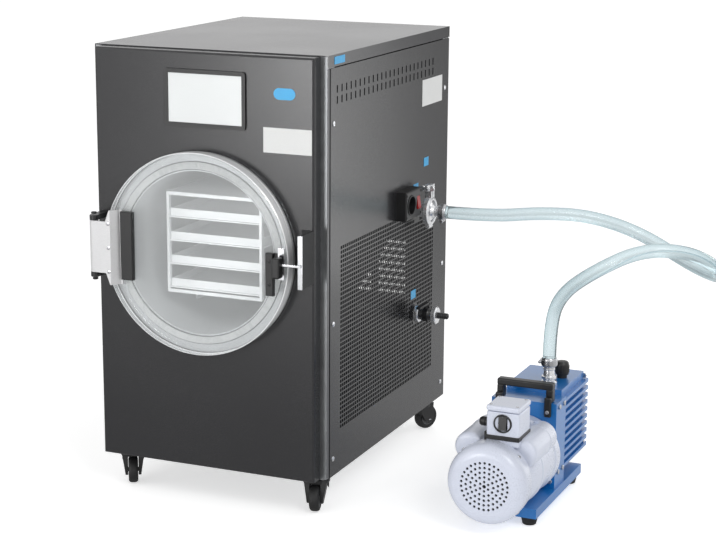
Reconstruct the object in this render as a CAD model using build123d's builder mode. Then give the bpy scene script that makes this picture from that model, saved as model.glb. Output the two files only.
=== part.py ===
"""Home freeze dryer on casters, with its rotary vane vacuum pump and suction hose.

Millimetres, +Z up, floor at z = 0. The cabinet's door faces -Y.
Places are given from the cabinet: x from its centre line, y back from the face of
its front panel, z up from the floor. The planes below move them into the part's frame,
whose origin is on the floor under the middle of the cabinet and the pump.
"""
import os
from math import cos, radians, sin, sqrt, tan

from build123d import *

# ---------------------------------------------------------------- cabinet sizes
body_width = 459.0
body_depth = 588.0
body_height = 759.0
sheet = 2.0                 # every folded sheet of the cabinet
panel_width = 430.0         # the front panel is narrower than the body
panel_proud = 27.0          # and stands this far in front of it
panel_top_gap = 2.0
panel_bend = 4.0            # bend radius of the front panel's edges
skirt = 21.0                # fold of the top cover down the sides
skirt_gap = 2.0             # shadow line under the top cover
corner_strip = 10.0         # post that shows beside each side panel
post_leg = 30.0
pan_height = 30.0
screw_head_radius = 5.0
screw_head_height = 2.0
screw_shank_radius = 2.0
screw_length = 9.0

# ---------------------------------------------------------------- casters
caster_height = 70.0
wheel_radius = 25.0
wheel_width = 18.0
wheel_side_gap = 1.0
tyre_round = 3.0
axle_radius = 4.0
running_gap = 0.05          # radial, shafts in their bores
caster_trail = 16.0
caster_inset = 38.0
plate_side = 60.0
plate_thickness = 3.0
race_radius = 21.0
race_height = 5.0
race_gap = 0.4
kingpin_radius = 5.0
fork_wall = 3.0
fork_top = 5.0

# ---------------------------------------------------------------- chamber and door
chamber_x = -1.0
chamber_z = 473.0
chamber_radius = 147.5      # inside
chamber_wall = 3.0
chamber_length = 420.0
flange_radius = 175.0
flange_thickness = 12.0
flange_proud = 7.0          # in front of the panel's face
gasket_thickness = 3.0
gasket_width = 12.0
door_radius = 181.5
door_thickness = 24.0
door_edge = 1.5
coil_tube_radius = 4.75
coil_turns = 9
coil_pitch = 38.0
insulation_wall = 20.0
seat_gap = 0.3

# ---------------------------------------------------------------- rack and trays
rack_width = 191.0
rack_height = 186.0
rack_depth = 345.0
rack_front = 50.0           # behind the front panel's face
rack_post = 5.0
rack_sheet = 2.0
tray_count = 4
tray_height = 14.0
tray_wall = 1.5
tray_gap = 1.0              # each side of a tray
rack_lift = 2.0             # rack's middle above the chamber's axis
shelf_first = 11.0          # first shelf above the rack's floor
shelf_pitch = 43.3
runner_x = 80.0
runner_length = 180.0

# ---------------------------------------------------------------- door fittings
hinge_x = -198.0            # hinge pin, in front of the panel's left edge
hinge_y = -43.0
hinge_z_above = 2.0         # above the chamber's axis
hinge_pin_radius = 4.0
hinge_barrel_radius = 8.0
hinge_height = 94.0
hinge_flare_height = 136.0
hinge_leaf = 3.0
hinge_flat = 37.0           # flat part of the leaf, from the pin
hinge_slope = 12.0
hinge_tail = 4.0          # bent strip down to the door
hinge_ear = 9.0
hinge_ear_gap = 0.4
pad_width = 24.0
pad_height = 124.0
pad_lift = 4.0              # above the middle of the hinge
pad_thickness = 10.0
pad_round = 2.0
latch_bar_x = 149.0
latch_bar_width = 15.0
latch_bar_height = 76.0
latch_bar_depth = 9.0
latch_x = 169.5
latch_z_above = -3.0
latch_base_height = 44.0
latch_base_width = 13.0
latch_base_depth = 3.0
latch_shaft_radius = 4.0
knob_gap = 6.5              # clears the bar when the knob turns
tongue_gap = 0.5
knob_width = 15.0
knob_height = 36.0
knob_depth = 18.0
knob_round = 3.0
tongue_thickness = 3.0
tongue_height = 4.0
tongue_lift = 6.0
tongue_reach = 44.0
strike_height = 94.0
strike_z_above = 9.0
strike_reach = 48.0         # in front of the panel
strike_sheet = 3.0
strike_lip = 8.0
strip_thickness = 1.5

# ---------------------------------------------------------------- screen and labels
screen_x = 7.0
screen_z = 746.0
screen_width = 158.0
screen_height = 101.0
screen_border = 7.0
screen_round = 6.0
screen_lap = 4.0            # how far the bezel covers the panel's edge
screen_proud = 4.0
screen_depth = 24.0
glass_thickness = 3.0
glass_recess = 1.0
label_thickness = 0.6
front_label_x = 165.0
front_label_z = 682.0
front_label_width = 92.0
front_label_height = 44.0
side_label_y = 523.0
side_label_z = 712.0
side_label_width = 106.0
side_label_height = 51.0
front_pill_x = 159.5
front_pill_z = 763.0
front_pill_width = 41.0
front_pill_height = 20.0
blue_spots = ((495.0, 576.0), (442.0, 532.0), (435.0, 322.0))
blue_spot_width = 24.0
blue_spot_height = 17.0
skirt_label_y = 74.0
skirt_label_width = 44.0
skirt_label_height = 13.0

# ---------------------------------------------------------------- right side
vent_slot_width = 5.0
vent_slot_height = 13.0
vent_columns = 24
vent_rows = 2
vent_pitch_y = 20.0
vent_pitch_z = 19.0
vent_centre_y = 295.0
vent_centre_z = 759.0
mesh_centre_y = 310.0
mesh_centre_z = 318.0
mesh_hole = 14.0
mesh_pitch = 32.0
mesh_columns = 15
mesh_rows = 11
port_y = 450.0
port_z = 488.0
port_hole_gap = 3.0
kf_radius = 20.0
kf_thickness = 5.0
port_pipe_radius = 13.0
port_pipe_wall = 1.5
port_reach = 26.0
clamp_radius = 29.0
clamp_width = 14.0
clamp_ring_gap = 0.5
wing_bolt_radius = 3.0
wing_span = 30.0
adapter_length = 36.0
hose_diameter = 25.0
fitting_round = 2.0
adapter_radius = 10.0
hose_collar_radius = 15.5
hose_collar_length = 16.0
valve_y = 442.0
valve_z = 283.0
valve_body_length = 26.0
valve_pipe_radius = 8.0
valve_collar_radius = 18.0
valve_collar_length = 10.0
valve_body_radius = 14.0
drain_spout_radius = 6.35
drain_spout_length = 22.0
handle_stem_radius = 5.0
handle_length = 52.0
handle_round = 3.0
outlet_y = 378.0
outlet_z = 513.0
outlet_width = 76.0
outlet_height = 55.0
outlet_depth = 22.0
outlet_round = 3.0
outlet_socket_radius = 17.0
outlet_socket_depth = 12.0
socket_offset = -13.0       # socket and switch, from the housing's middle
switch_offset = 23.0
switch_width = 14.0
switch_height = 24.0
switch_depth = 8.0
switch_gap = 0.6
switch_pin_radius = 1.5
switch_pin_length = 2.0
rocker_throw = 9.0          # degrees each side of level

# ---------------------------------------------------------------- refrigeration
compressor_x = 40.0
compressor_y = 320.0
compressor_radius = 62.0
compressor_height = 150.0
compressor_round = 16.0
condenser_x = -170.0
condenser_y = 165.0
condenser_thickness = 44.0
condenser_length = 240.0
condenser_height = 170.0
condenser_lift = 12.0
fan_radius = 76.0
fan_hub_radius = 20.0
fan_shaft_radius = 4.0
fan_depth = 20.0
fan_blade_count = 5
fan_blade_chord = 26.0
fan_blade_tilt = 25.0
fan_shroud_side = 168.0
fan_motor_radius = 22.0
fan_motor_length = 26.0
control_width = 200.0
control_depth = 70.0
control_height = 90.0
control_round = 4.0

# ---------------------------------------------------------------- vacuum pump
pump_x = 523.0              # the pump's shaft, from the cabinet's centre line
pump_y = 34.0               # its fan cover, behind the front panel's face
motor_radius = 73.0
motor_axis_z = 98.0
motor_length = 174.0
cover_length = 44.0
cover_wall = 2.5
cover_dome = 16.0           # rounding of the fan cover's front edge
cover_dome_inside = 58.0
cover_dome_depth = 14.0
cover_lap = 6.0             # how far the cover sleeves over the motor
cover_hole_radius = 4.2
cover_hole_pitch = 12.5
cover_hole_rings = 3
rotor_shaft_radius = 7.0
rotor_shaft_short = 6.0      # ends this much before the casting
rotor_shaft_play = 2.0
rotor_fan_gap = 7.0          # behind the cover's face
rotor_fan_radius = 54.0
rotor_fan_depth = 14.0
capacitor_radius = 28.0
capacitor_distance = 68.0
capacitor_angle = 45.0
capacitor_length = 120.0
capacitor_inset = 14.0       # behind the motor's front
casing_half_width = 62.0
casing_top = 205.0
casing_step = 10.0          # its front part is this much lower
casing_mid_length = 58.0
casing_round = 6.0
oil_box_length = 150.0
oil_box_bottom = 52.0
fin_reach = 9.0
fin_count = 10
fin_thickness = 6.0
base_half_width = 66.0
base_bottom = 16.0
base_thickness = 18.0
base_forward = 118.0        # how far the base runs under the motor
base_short = 50.0           # how far the oil box hangs over the base
foot_radius = 15.0
foot_inset = 18.0
terminal_x = 17.0
terminal_width = 60.0
terminal_depth = 62.0
terminal_height = 62.0
terminal_inset = 4.0
terminal_round = 5.0
carry_width = 106.0
carry_rise = 36.0
carry_bar = 10.0
carry_round = 14.0
carry_leg_drop = 25.0        # down the front of the casting
carry_leg_depth = 8.0
carry_inset = 10.0           # behind the casting's front
intake_x = 20.0
intake_y = 26.0             # behind the oil box's front
intake_radius = 10.0
intake_height = 52.0
exhaust_x = 28.0
exhaust_y = 83.0
exhaust_radius = 13.0
exhaust_height = 26.0
exhaust_neck = 6.0
exhaust_neck_step = 3.0
exhaust_round = 4.0

# ---------------------------------------------------------------- worked out once
half_width = body_width / 2
base_z = caster_height
top_z = base_z + body_height
body_front = panel_proud
body_back = panel_proud + body_depth
panel_top = top_z - panel_top_gap
door_back = -flange_proud - gasket_thickness
door_front = door_back - door_thickness
knob_front = door_front - latch_base_depth - knob_gap - knob_depth
latch_z = chamber_z + latch_z_above
chamber_outside = chamber_radius + chamber_wall
coil_radius = chamber_outside + seat_gap + coil_tube_radius
insulation_radius = coil_radius + coil_tube_radius + seat_gap
insulation_outside = insulation_radius + insulation_wall
pump_reach = capacitor_distance * cos(radians(capacitor_angle)) + capacitor_radius
cab_x = -(pump_x + pump_reach - half_width) / 2
front_y = -(body_back + knob_front) / 2
motor_front = pump_y + cover_length - cover_lap
casing_front = motor_front + motor_length
oil_box_front = casing_front + casing_mid_length


def level(x, y, z):
    """Plane facing up at a place in the cabinet's own coordinates."""
    return Plane((cab_x + x, front_y + y, z))


def facing_front(x, y, z):
    return Plane((cab_x + x, front_y + y, z), x_dir=(1, 0, 0), z_dir=(0, -1, 0))


def facing_right(x, y, z):
    return Plane((cab_x + x, front_y + y, z), x_dir=(0, 1, 0), z_dir=(1, 0, 0))


def facing_back(x, y, z):
    return Plane((cab_x + x, front_y + y, z), x_dir=(-1, 0, 0), z_dir=(0, 1, 0))


os.makedirs("parts", exist_ok=True)


def block(plane, width, depth, height, mode=Mode.ADD):
    """Box standing on the middle of a plane, inside the block that calls it."""
    with Locations(plane):
        Box(width, depth, height, align=(Align.CENTER, Align.CENTER, Align.MIN), mode=mode)


def rod(plane, radius, height, mode=Mode.ADD):
    """Cylinder standing on a plane, inside the block that calls it."""
    with Locations(plane):
        Cylinder(radius, height, align=(Align.CENTER, Align.CENTER, Align.MIN), mode=mode)


def ball(plane, radius, mode=Mode.ADD):
    with Locations(plane):
        Sphere(radius, mode=mode)


def keep(made, name):
    """Label a finished piece and write its STEP file."""
    made.part.label = name
    export_step(made.part, f"parts/{name}.step")


# ================================================================ cabinet shell
frame_width = body_width - 2 * sheet
frame_depth = body_depth - sheet
frame_mid_y = body_front + frame_depth / 2
frame_back = body_front + frame_depth
top_rail = 20.0
shelf_clear = 10.0
shelf_z = chamber_z + insulation_outside + shelf_clear
shelf_depth = 230.0
cradle_places = (110.0, 400.0)
cradle_thickness = 3.0
cradle_half_width = 124.0
cradle_window = 90.0
cradle_web = 15.0
screw_inset = 23.0
back_screw_x = half_width - 20.0
screw_places_y = (body_front + screw_inset, body_back - screw_inset)
screw_places_z = (base_z + 33.0, base_z + 283.0, base_z + 640.0)
screw_hole = screw_shank_radius + 0.2

with BuildPart() as welded_frame:
    block(level(0, frame_mid_y, base_z), frame_width, frame_depth, pan_height)
    block(
        level(0, frame_mid_y, base_z + sheet),
        frame_width - 2 * sheet,
        frame_depth - 2 * sheet,
        pan_height,
        Mode.SUBTRACT,
    )
    post_height = body_height - sheet
    for side in (-1, 1):
        wall_x = side * (frame_width - sheet) / 2
        leg_x = side * (frame_width - post_leg) / 2
        for wall_y, leg_y in (
            (body_front + sheet / 2, body_front + post_leg / 2),
            (frame_back - sheet / 2, frame_back - post_leg / 2),
        ):
            block(level(leg_x, wall_y, base_z), post_leg, sheet, post_height)
            block(level(wall_x, leg_y, base_z), sheet, post_leg, post_height)
    block(level(0, frame_mid_y, top_z - 2 * sheet), frame_width, frame_depth, sheet)
    block(
        level(0, frame_mid_y, top_z - 2 * sheet),
        frame_width - 2 * top_rail,
        frame_depth - 2 * top_rail,
        sheet,
        Mode.SUBTRACT,
    )
    block(level(0, body_front + shelf_depth / 2, shelf_z), frame_width, shelf_depth, sheet)
    cradle_bottom = base_z + sheet
    for cradle_y in cradle_places:
        block(
            level(0, cradle_y, cradle_bottom),
            2 * cradle_half_width,
            cradle_thickness,
            chamber_z - insulation_outside / 2 - cradle_bottom,
        )
        block(
            level(0, cradle_y, cradle_bottom),
            2 * cradle_window,
            cradle_thickness,
            chamber_z - insulation_outside - cradle_web - cradle_bottom,
            Mode.SUBTRACT,
        )
    rod(
        facing_back(chamber_x, cradle_places[0] - cradle_thickness, chamber_z),
        insulation_outside,
        cradle_places[1] - cradle_places[0] + 2 * cradle_thickness,
        Mode.SUBTRACT,
    )
    for hole_z in screw_places_z:
        for hole_y in screw_places_y:
            rod(facing_right(-half_width, hole_y, hole_z), screw_hole, body_width, Mode.SUBTRACT)
        for hole_x in (-back_screw_x, back_screw_x):
            rod(facing_front(hole_x, body_back, hole_z), screw_hole, post_leg, Mode.SUBTRACT)
keep(welded_frame, "welded_frame")

panel_height = panel_top - base_z
screen_cut_width = screen_width - 2 * screen_lap
screen_cut_height = screen_height - 2 * screen_lap

with BuildPart() as front_panel:
    block(facing_back(0, 0, base_z + panel_height / 2), panel_width, panel_height, panel_proud)
    rim = front_panel.faces().sort_by(Axis.Y)[0].edges()
    fillet(rim, panel_bend)
    block(
        facing_back(0, sheet, base_z + panel_height / 2),
        panel_width - 2 * sheet,
        panel_height - 2 * sheet,
        panel_proud,
        Mode.SUBTRACT,
    )
    rod(facing_back(chamber_x, 0, chamber_z), flange_radius + seat_gap, panel_proud, Mode.SUBTRACT)
    block(facing_back(screen_x, 0, screen_z), screen_cut_width, screen_cut_height, sheet, Mode.SUBTRACT)
keep(front_panel, "front_panel")

with BuildPart() as top_cover:
    block(level(0, body_front + body_depth / 2, top_z - skirt), body_width, body_depth, skirt)
    block(
        level(0, body_front + (body_depth - sheet) / 2, top_z - skirt),
        frame_width,
        frame_depth,
        skirt - sheet,
        Mode.SUBTRACT,
    )
keep(top_cover, "top_cover")

side_height = body_height - skirt - skirt_gap
side_length = body_depth - corner_strip - sheet
side_mid_y = body_front + corner_strip + side_length / 2
side_mid_z = base_z + side_height / 2
plain_patch = mesh_pitch + mesh_hole    # mesh left plain around each port


def side_sheet(wall_plane, vents_plane, mesh_plane):
    """Side panel with its vent slots and its square-hole mesh."""
    block(wall_plane, side_length, side_height, sheet)
    with Locations(vents_plane):
        with GridLocations(vent_pitch_y, vent_pitch_z, vent_columns, vent_rows):
            Box(vent_slot_width, vent_slot_height, 3 * sheet, mode=Mode.SUBTRACT)
    with Locations(mesh_plane):
        with GridLocations(mesh_pitch, mesh_pitch, mesh_columns, mesh_rows):
            Box(mesh_hole, mesh_hole, 3 * sheet, mode=Mode.SUBTRACT)


inner_side = half_width - sheet
with BuildPart() as right_panel:
    side_sheet(
        facing_right(inner_side, side_mid_y, side_mid_z),
        facing_right(inner_side, vent_centre_y, vent_centre_z),
        facing_right(inner_side, mesh_centre_y, mesh_centre_z),
    )
    block(
        facing_right(inner_side, mesh_centre_y + 4.5 * mesh_pitch, mesh_centre_z + 5 * mesh_pitch),
        plain_patch + mesh_pitch,
        plain_patch,
        sheet,
    )
    block(
        facing_right(inner_side, mesh_centre_y + 4 * mesh_pitch, mesh_centre_z - mesh_pitch),
        plain_patch,
        plain_patch,
        sheet,
    )
    rod(
        facing_right(inner_side, port_y, port_z),
        port_pipe_radius + port_hole_gap,
        sheet,
        Mode.SUBTRACT,
    )
    rod(
        facing_right(inner_side, valve_y, valve_z),
        valve_pipe_radius + port_hole_gap,
        sheet,
        Mode.SUBTRACT,
    )
    for hole_y in screw_places_y:
        for hole_z in screw_places_z:
            rod(
                facing_right(inner_side, hole_y, hole_z),
                screw_hole,
                sheet,
                Mode.SUBTRACT,
            )
keep(right_panel, "right_panel")

with BuildPart() as left_panel:
    side_sheet(
        facing_right(-half_width, side_mid_y, side_mid_z),
        facing_right(-half_width, vent_centre_y, vent_centre_z),
        facing_right(-half_width, mesh_centre_y, mesh_centre_z),
    )
    for hole_y in screw_places_y:
        for hole_z in screw_places_z:
            rod(
                facing_right(-half_width, hole_y, hole_z),
                screw_hole,
                sheet,
                Mode.SUBTRACT,
            )
keep(left_panel, "left_panel")

inlet_x = 120.0
inlet_z = base_z + 60.0
inlet_width = 31.0
inlet_height = 24.0
inlet_depth = 18.0
inlet_wall = 2.5
back_vent_width = 60.0
back_vent_height = 5.0
back_vent_columns = 4
back_vent_rows = 8
back_vent_z = base_z + 260.0

with BuildPart() as back_panel:
    block(
        facing_back(0, body_back - sheet, side_mid_z),
        frame_width - 2 * skirt_gap,
        side_height,
        sheet,
    )
    with Locations(facing_back(0, body_back - sheet, back_vent_z)):
        with GridLocations(
            back_vent_width + 15.0, 3 * back_vent_height, back_vent_columns, back_vent_rows
        ):
            Box(back_vent_width, back_vent_height, 3 * sheet, mode=Mode.SUBTRACT)
    block(
        facing_front(inlet_x, body_back, inlet_z),
        inlet_width,
        inlet_height,
        inlet_depth,
    )
    block(
        facing_front(inlet_x, body_back, inlet_z),
        inlet_width - 2 * inlet_wall,
        inlet_height - 2 * inlet_wall,
        inlet_depth - inlet_wall,
        Mode.SUBTRACT,
    )
    for hole_z in screw_places_z:
        for hole_x in (-back_screw_x, back_screw_x):
            rod(
                facing_back(hole_x, body_back - sheet, hole_z),
                screw_hole,
                sheet,
                Mode.SUBTRACT,
            )
keep(back_panel, "back_panel")


def screw(plane):
    """Pan head on the sheet and a shank that reaches through it."""
    rod(plane, screw_head_radius, screw_head_height)
    rod(plane.offset(-screw_length), screw_shank_radius, screw_length)


with BuildPart() as panel_screws:
    for hole_z in screw_places_z:
        for hole_y in screw_places_y:
            screw(facing_right(half_width, hole_y, hole_z))
            left_face = facing_right(-half_width, hole_y, hole_z)
            screw(Plane(left_face.origin, x_dir=(0, 1, 0), z_dir=(-1, 0, 0)))
        for hole_x in (-back_screw_x, back_screw_x):
            screw(facing_back(hole_x, body_back, hole_z))
keep(panel_screws, "panel_screws")

# ================================================================ casters
wheel_gap = wheel_width / 2 + wheel_side_gap
race_bottom = caster_height - plate_thickness - race_height
fork_top_z = race_bottom - race_gap
kingpin_head = 2.0
kingpin_head_radius = 8.0
axle_head = 2.5
axle_head_radius = 6.5
fork_ear_radius = 9.0
fork_shoulder = 17.0
caster_x = half_width - caster_inset
caster_places = {
    "front_right": (caster_x, body_front + caster_inset, -75.0),
    "front_left": (-caster_x, body_front + caster_inset, -60.0),
    "back_right": (caster_x, body_back - caster_inset, 60.0),
    "back_left": (-caster_x, body_back - caster_inset, 75.0),
}


def caster_plane(x, y, heading, height):
    """Plane facing up whose own x axis points the way the wheel trails."""
    return Plane(
        (cab_x + x, front_y + y, height),
        x_dir=(cos(radians(heading)), sin(radians(heading)), 0),
        z_dir=(0, 0, 1),
    )


with BuildPart() as caster_plates:
    for x, y, heading in caster_places.values():
        block(level(x, y, caster_height - plate_thickness), plate_side, plate_side, plate_thickness)
        rod(level(x, y, race_bottom), race_radius, race_height)
        pin_bottom = fork_top_z - fork_top - seat_gap
        rod(level(x, y, pin_bottom), kingpin_radius, race_bottom - pin_bottom)
        rod(level(x, y, pin_bottom - kingpin_head), kingpin_head_radius, kingpin_head)
keep(caster_plates, "caster_plates")

for place, (x, y, heading) in caster_places.items():
    swivel = caster_plane(x, y, heading, fork_top_z)
    axle = Plane(
        swivel.origin + swivel.x_dir * caster_trail - swivel.z_dir * (fork_top_z - wheel_radius),
        x_dir=swivel.x_dir,
        z_dir=-swivel.y_dir,
    )
    ear_top = fork_top_z - wheel_radius
    with BuildPart() as caster_fork:
        rod(swivel.offset(-fork_top), race_radius, fork_top)
        for start in (-wheel_gap - fork_wall, wheel_gap):
            with BuildSketch(axle.offset(start)):
                with BuildLine():
                    Polyline(
                        (-caster_trail - fork_shoulder, ear_top),
                        (-fork_ear_radius, 0),
                        (fork_ear_radius, 0),
                        (-caster_trail + fork_shoulder, ear_top),
                        close=True,
                    )
                make_face()
                Circle(fork_ear_radius)
            extrude(amount=fork_wall)
        half_axle = wheel_gap + fork_wall
        rod(axle.offset(-half_axle), axle_radius, 2 * half_axle)
        rod(axle.offset(half_axle), axle_head_radius, axle_head)
        rod(axle.offset(-half_axle - axle_head), axle_head_radius, axle_head)
        rod(swivel.offset(-fork_top), kingpin_radius + running_gap, fork_top, Mode.SUBTRACT)
    keep(caster_fork, f"caster_fork_{place}")
    with BuildPart() as caster_wheel:
        rod(axle.offset(-wheel_width / 2), wheel_radius, wheel_width)
        fillet(caster_wheel.edges().filter_by(GeomType.CIRCLE), tyre_round)
        rod(axle.offset(-wheel_width / 2), axle_radius + running_gap, wheel_width, Mode.SUBTRACT)
    keep(caster_wheel, f"caster_wheel_{place}")

# ================================================================ vacuum chamber
chamber_front = -flange_proud
chamber_back = chamber_front + chamber_length
pipe_inner = port_pipe_radius - port_pipe_wall
drain_inner = valve_pipe_radius - port_pipe_wall
port_turn_x = chamber_x + 40.0
drain_z = chamber_z - 125.0
port_end = half_width + port_reach
valve_start = half_width + 3.0
drain_run = valve_start - chamber_x
port_run = port_end - port_turn_x


def port_line(radius, mode=Mode.ADD):
    """Suction pipe from the chamber's back out to the right side."""
    rod(facing_back(port_turn_x, chamber_back - chamber_wall, port_z), radius,
        port_y - chamber_back + chamber_wall, mode)
    ball(facing_back(port_turn_x, port_y, port_z), radius, mode)
    rod(facing_right(port_turn_x, port_y, port_z), radius, port_run, mode)


def drain_line(radius, mode=Mode.ADD):
    """Melt water pipe from the chamber's low back, down and out to the right side."""
    rod(facing_back(chamber_x, chamber_back - chamber_wall, drain_z), radius,
        valve_y - chamber_back + chamber_wall, mode)
    ball(facing_back(chamber_x, valve_y, drain_z), radius, mode)
    rod(level(chamber_x, valve_y, valve_z), radius, drain_z - valve_z, mode)
    ball(level(chamber_x, valve_y, valve_z), radius, mode)
    rod(facing_right(chamber_x, valve_y, valve_z), radius, drain_run, mode)


with BuildPart() as vacuum_chamber:
    rod(facing_back(chamber_x, chamber_front, chamber_z), flange_radius, flange_thickness)
    rod(facing_back(chamber_x, chamber_front, chamber_z), chamber_outside, chamber_length)
    port_line(port_pipe_radius)
    drain_line(valve_pipe_radius)
    rod(facing_right(port_end - kf_thickness, port_y, port_z), kf_radius, kf_thickness)
    rod(
        facing_back(chamber_x, chamber_front, chamber_z),
        chamber_radius,
        chamber_length - chamber_wall,
        Mode.SUBTRACT,
    )
    port_line(pipe_inner, Mode.SUBTRACT)
    drain_line(drain_inner, Mode.SUBTRACT)
keep(vacuum_chamber, "vacuum_chamber")

coil_first = flange_thickness + 30.0
tail_radius = 3.8
tail_hole = tail_radius + 1.0
compressor_top = base_z + sheet + compressor_height
condenser_top = base_z + sheet + condenser_lift + condenser_height
suction_y = coil_first + (coil_turns - 1.5) * coil_pitch    # where the coil passes lowest
liquid_y = coil_first + 0.75 * coil_pitch                   # where it passes furthest left


def suction_tail(radius, mode=Mode.ADD):
    """Tube from the coil's underside down to the compressor."""
    rod(level(chamber_x, suction_y, compressor_top), radius,
        chamber_z - coil_radius - compressor_top, mode)


def liquid_tail(radius, mode=Mode.ADD):
    """Tube from the coil's left side down to the condenser."""
    rod(level(chamber_x - coil_radius, liquid_y, condenser_top), radius,
        chamber_z - condenser_top, mode)


with BuildPart() as cold_coil:
    with BuildLine() as coil_line:
        Helix(
            pitch=coil_pitch,
            height=coil_turns * coil_pitch,
            radius=coil_radius,
            center=level(chamber_x, coil_first, chamber_z).origin,
            direction=(0, 1, 0),
        )
    with BuildSketch(Plane(coil_line.line @ 0, z_dir=coil_line.line % 0)):
        Circle(coil_tube_radius)
    sweep(path=coil_line.line, is_frenet=True)
    suction_tail(tail_radius)
    liquid_tail(tail_radius)
keep(cold_coil, "cold_coil")

insulation_front = chamber_front + flange_thickness + seat_gap
insulation_back = chamber_back + seat_gap + insulation_wall
with BuildPart() as chamber_insulation:
    rod(
        facing_back(chamber_x, insulation_front, chamber_z),
        insulation_outside - seat_gap,
        insulation_back - insulation_front,
    )
    rod(
        facing_back(chamber_x, insulation_front, chamber_z),
        insulation_radius,
        chamber_back + seat_gap - insulation_front,
        Mode.SUBTRACT,
    )
    port_line(port_pipe_radius + seat_gap, Mode.SUBTRACT)
    drain_line(valve_pipe_radius + seat_gap, Mode.SUBTRACT)
    suction_tail(tail_hole, Mode.SUBTRACT)
    liquid_tail(tail_hole, Mode.SUBTRACT)
keep(chamber_insulation, "chamber_insulation")

gasket_inner = chamber_radius + 4.0
with BuildPart() as door_gasket:
    gasket_base = facing_front(chamber_x, chamber_front, chamber_z)
    rod(gasket_base, gasket_inner + gasket_width, gasket_thickness)
    rod(gasket_base, gasket_inner, gasket_thickness, Mode.SUBTRACT)
keep(door_gasket, "door_gasket")

# ================================================================ rack and trays
rack_bottom = chamber_z + rack_lift - rack_height / 2
rack_mid_y = rack_front + rack_depth / 2
rack_inner = rack_width - 2 * rack_post
rack_flange = 8.0
rack_bar = 6.0
tray_depth = rack_depth - 10.0
tray_width = rack_inner - 2 * tray_gap
shelf_tops = [rack_bottom + shelf_first + row * shelf_pitch for row in range(tray_count)]
runner_half = 2.0
runner_outer = runner_x + runner_half
runner_bottom = chamber_z - sqrt(chamber_radius**2 - runner_outer**2) + seat_gap

with BuildPart() as shelf_rack:
    for side in (-1, 1):
        for post_y in (rack_front + rack_flange / 2, rack_front + rack_depth - rack_flange / 2):
            post_x = chamber_x + side * (rack_width - rack_post) / 2
            block(level(post_x, post_y, rack_bottom), rack_post, rack_flange, rack_height)
        runner_middle = chamber_x + side * runner_x
        block(level(runner_middle, rack_mid_y, runner_bottom), 2 * runner_half, runner_length,
              rack_bottom - runner_bottom)
    for plate_z in (rack_bottom, rack_bottom + rack_height - rack_sheet):
        block(level(chamber_x, rack_mid_y, plate_z), rack_width, rack_depth, rack_sheet)
    for bar_z in (rack_bottom, rack_bottom + rack_height - rack_bar):
        block(level(chamber_x, rack_front + rack_sheet / 2, bar_z), rack_width, rack_sheet, rack_bar)
    for shelf_top in shelf_tops:
        block(level(chamber_x, rack_mid_y, shelf_top - rack_sheet), rack_width, rack_depth, rack_sheet)
keep(shelf_rack, "shelf_rack")

for row, shelf_top in enumerate(shelf_tops, start=1):
    with BuildPart() as tray:
        block(level(chamber_x, rack_mid_y, shelf_top), tray_width, tray_depth, tray_height)
        block(
            level(chamber_x, rack_mid_y, shelf_top + tray_wall),
            tray_width - 2 * tray_wall,
            tray_depth - 2 * tray_wall,
            tray_height,
            Mode.SUBTRACT,
        )
    keep(tray, f"tray_{row}")

# ================================================================ door and its hinge
with BuildPart() as door_disc:
    rod(facing_front(chamber_x, door_back, chamber_z), door_radius, door_thickness)
    chamfer(door_disc.edges().filter_by(GeomType.CIRCLE), door_edge)
keep(door_disc, "door_disc")

hinge_z = chamber_z + hinge_z_above
half_leaf = hinge_height / 2
half_flare = hinge_flare_height / 2
leaf_front = hinge_y - hinge_barrel_radius
leaf_back = leaf_front + hinge_leaf
tail_front = door_front - hinge_leaf
slope_shift = hinge_leaf / 2
flare_start = 27.0
flare_full = 35.0
leaf_reach = hinge_flat + hinge_slope + hinge_tail

with BuildPart() as hinge_plate:
    with BuildSketch(level(hinge_x, 0, hinge_z - half_flare)):
        with BuildLine():
            Polyline(
                (0, leaf_front),
                (hinge_flat, leaf_front),
                (hinge_flat + hinge_slope, tail_front),
                (leaf_reach, tail_front),
                (leaf_reach, door_front),
                (hinge_flat + hinge_slope - slope_shift, door_front),
                (hinge_flat - slope_shift, leaf_back),
                (0, leaf_back),
                close=True,
            )
        make_face()
    extrude(amount=hinge_flare_height)
    with BuildSketch(facing_front(hinge_x, 0, hinge_z)):
        with BuildLine():
            Polyline(
                (-hinge_barrel_radius, -half_leaf),
                (flare_start, -half_leaf),
                (flare_full, -half_flare),
                (leaf_reach, -half_flare),
                (leaf_reach, half_flare),
                (flare_full, half_flare),
                (flare_start, half_leaf),
                (-hinge_barrel_radius, half_leaf),
                close=True,
            )
        make_face()
    extrude(amount=-leaf_front, mode=Mode.INTERSECT)
    rod(level(hinge_x, hinge_y, hinge_z - half_leaf), hinge_barrel_radius, hinge_height)
    rod(
        level(hinge_x, hinge_y, hinge_z - half_leaf),
        hinge_pin_radius + running_gap,
        hinge_height,
        Mode.SUBTRACT,
    )
keep(hinge_plate, "hinge_plate")

ear_low = hinge_z - half_leaf - hinge_ear_gap - hinge_ear
ear_high = hinge_z + half_leaf + hinge_ear_gap
bracket_height = ear_high + hinge_ear - ear_low
bracket_foot = 4.0
with BuildPart() as hinge_bracket:
    for ear_z in (ear_low, ear_high):
        rod(level(hinge_x, hinge_y, ear_z), hinge_barrel_radius, hinge_ear)
        block(level(hinge_x, hinge_y / 2, ear_z), 2 * hinge_barrel_radius, -hinge_y, hinge_ear)
    block(level(hinge_x, -bracket_foot / 2, ear_low), 2 * hinge_barrel_radius, bracket_foot,
          bracket_height)
    rod(level(hinge_x, hinge_y, ear_low), hinge_pin_radius, bracket_height)
keep(hinge_bracket, "hinge_bracket")

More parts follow.
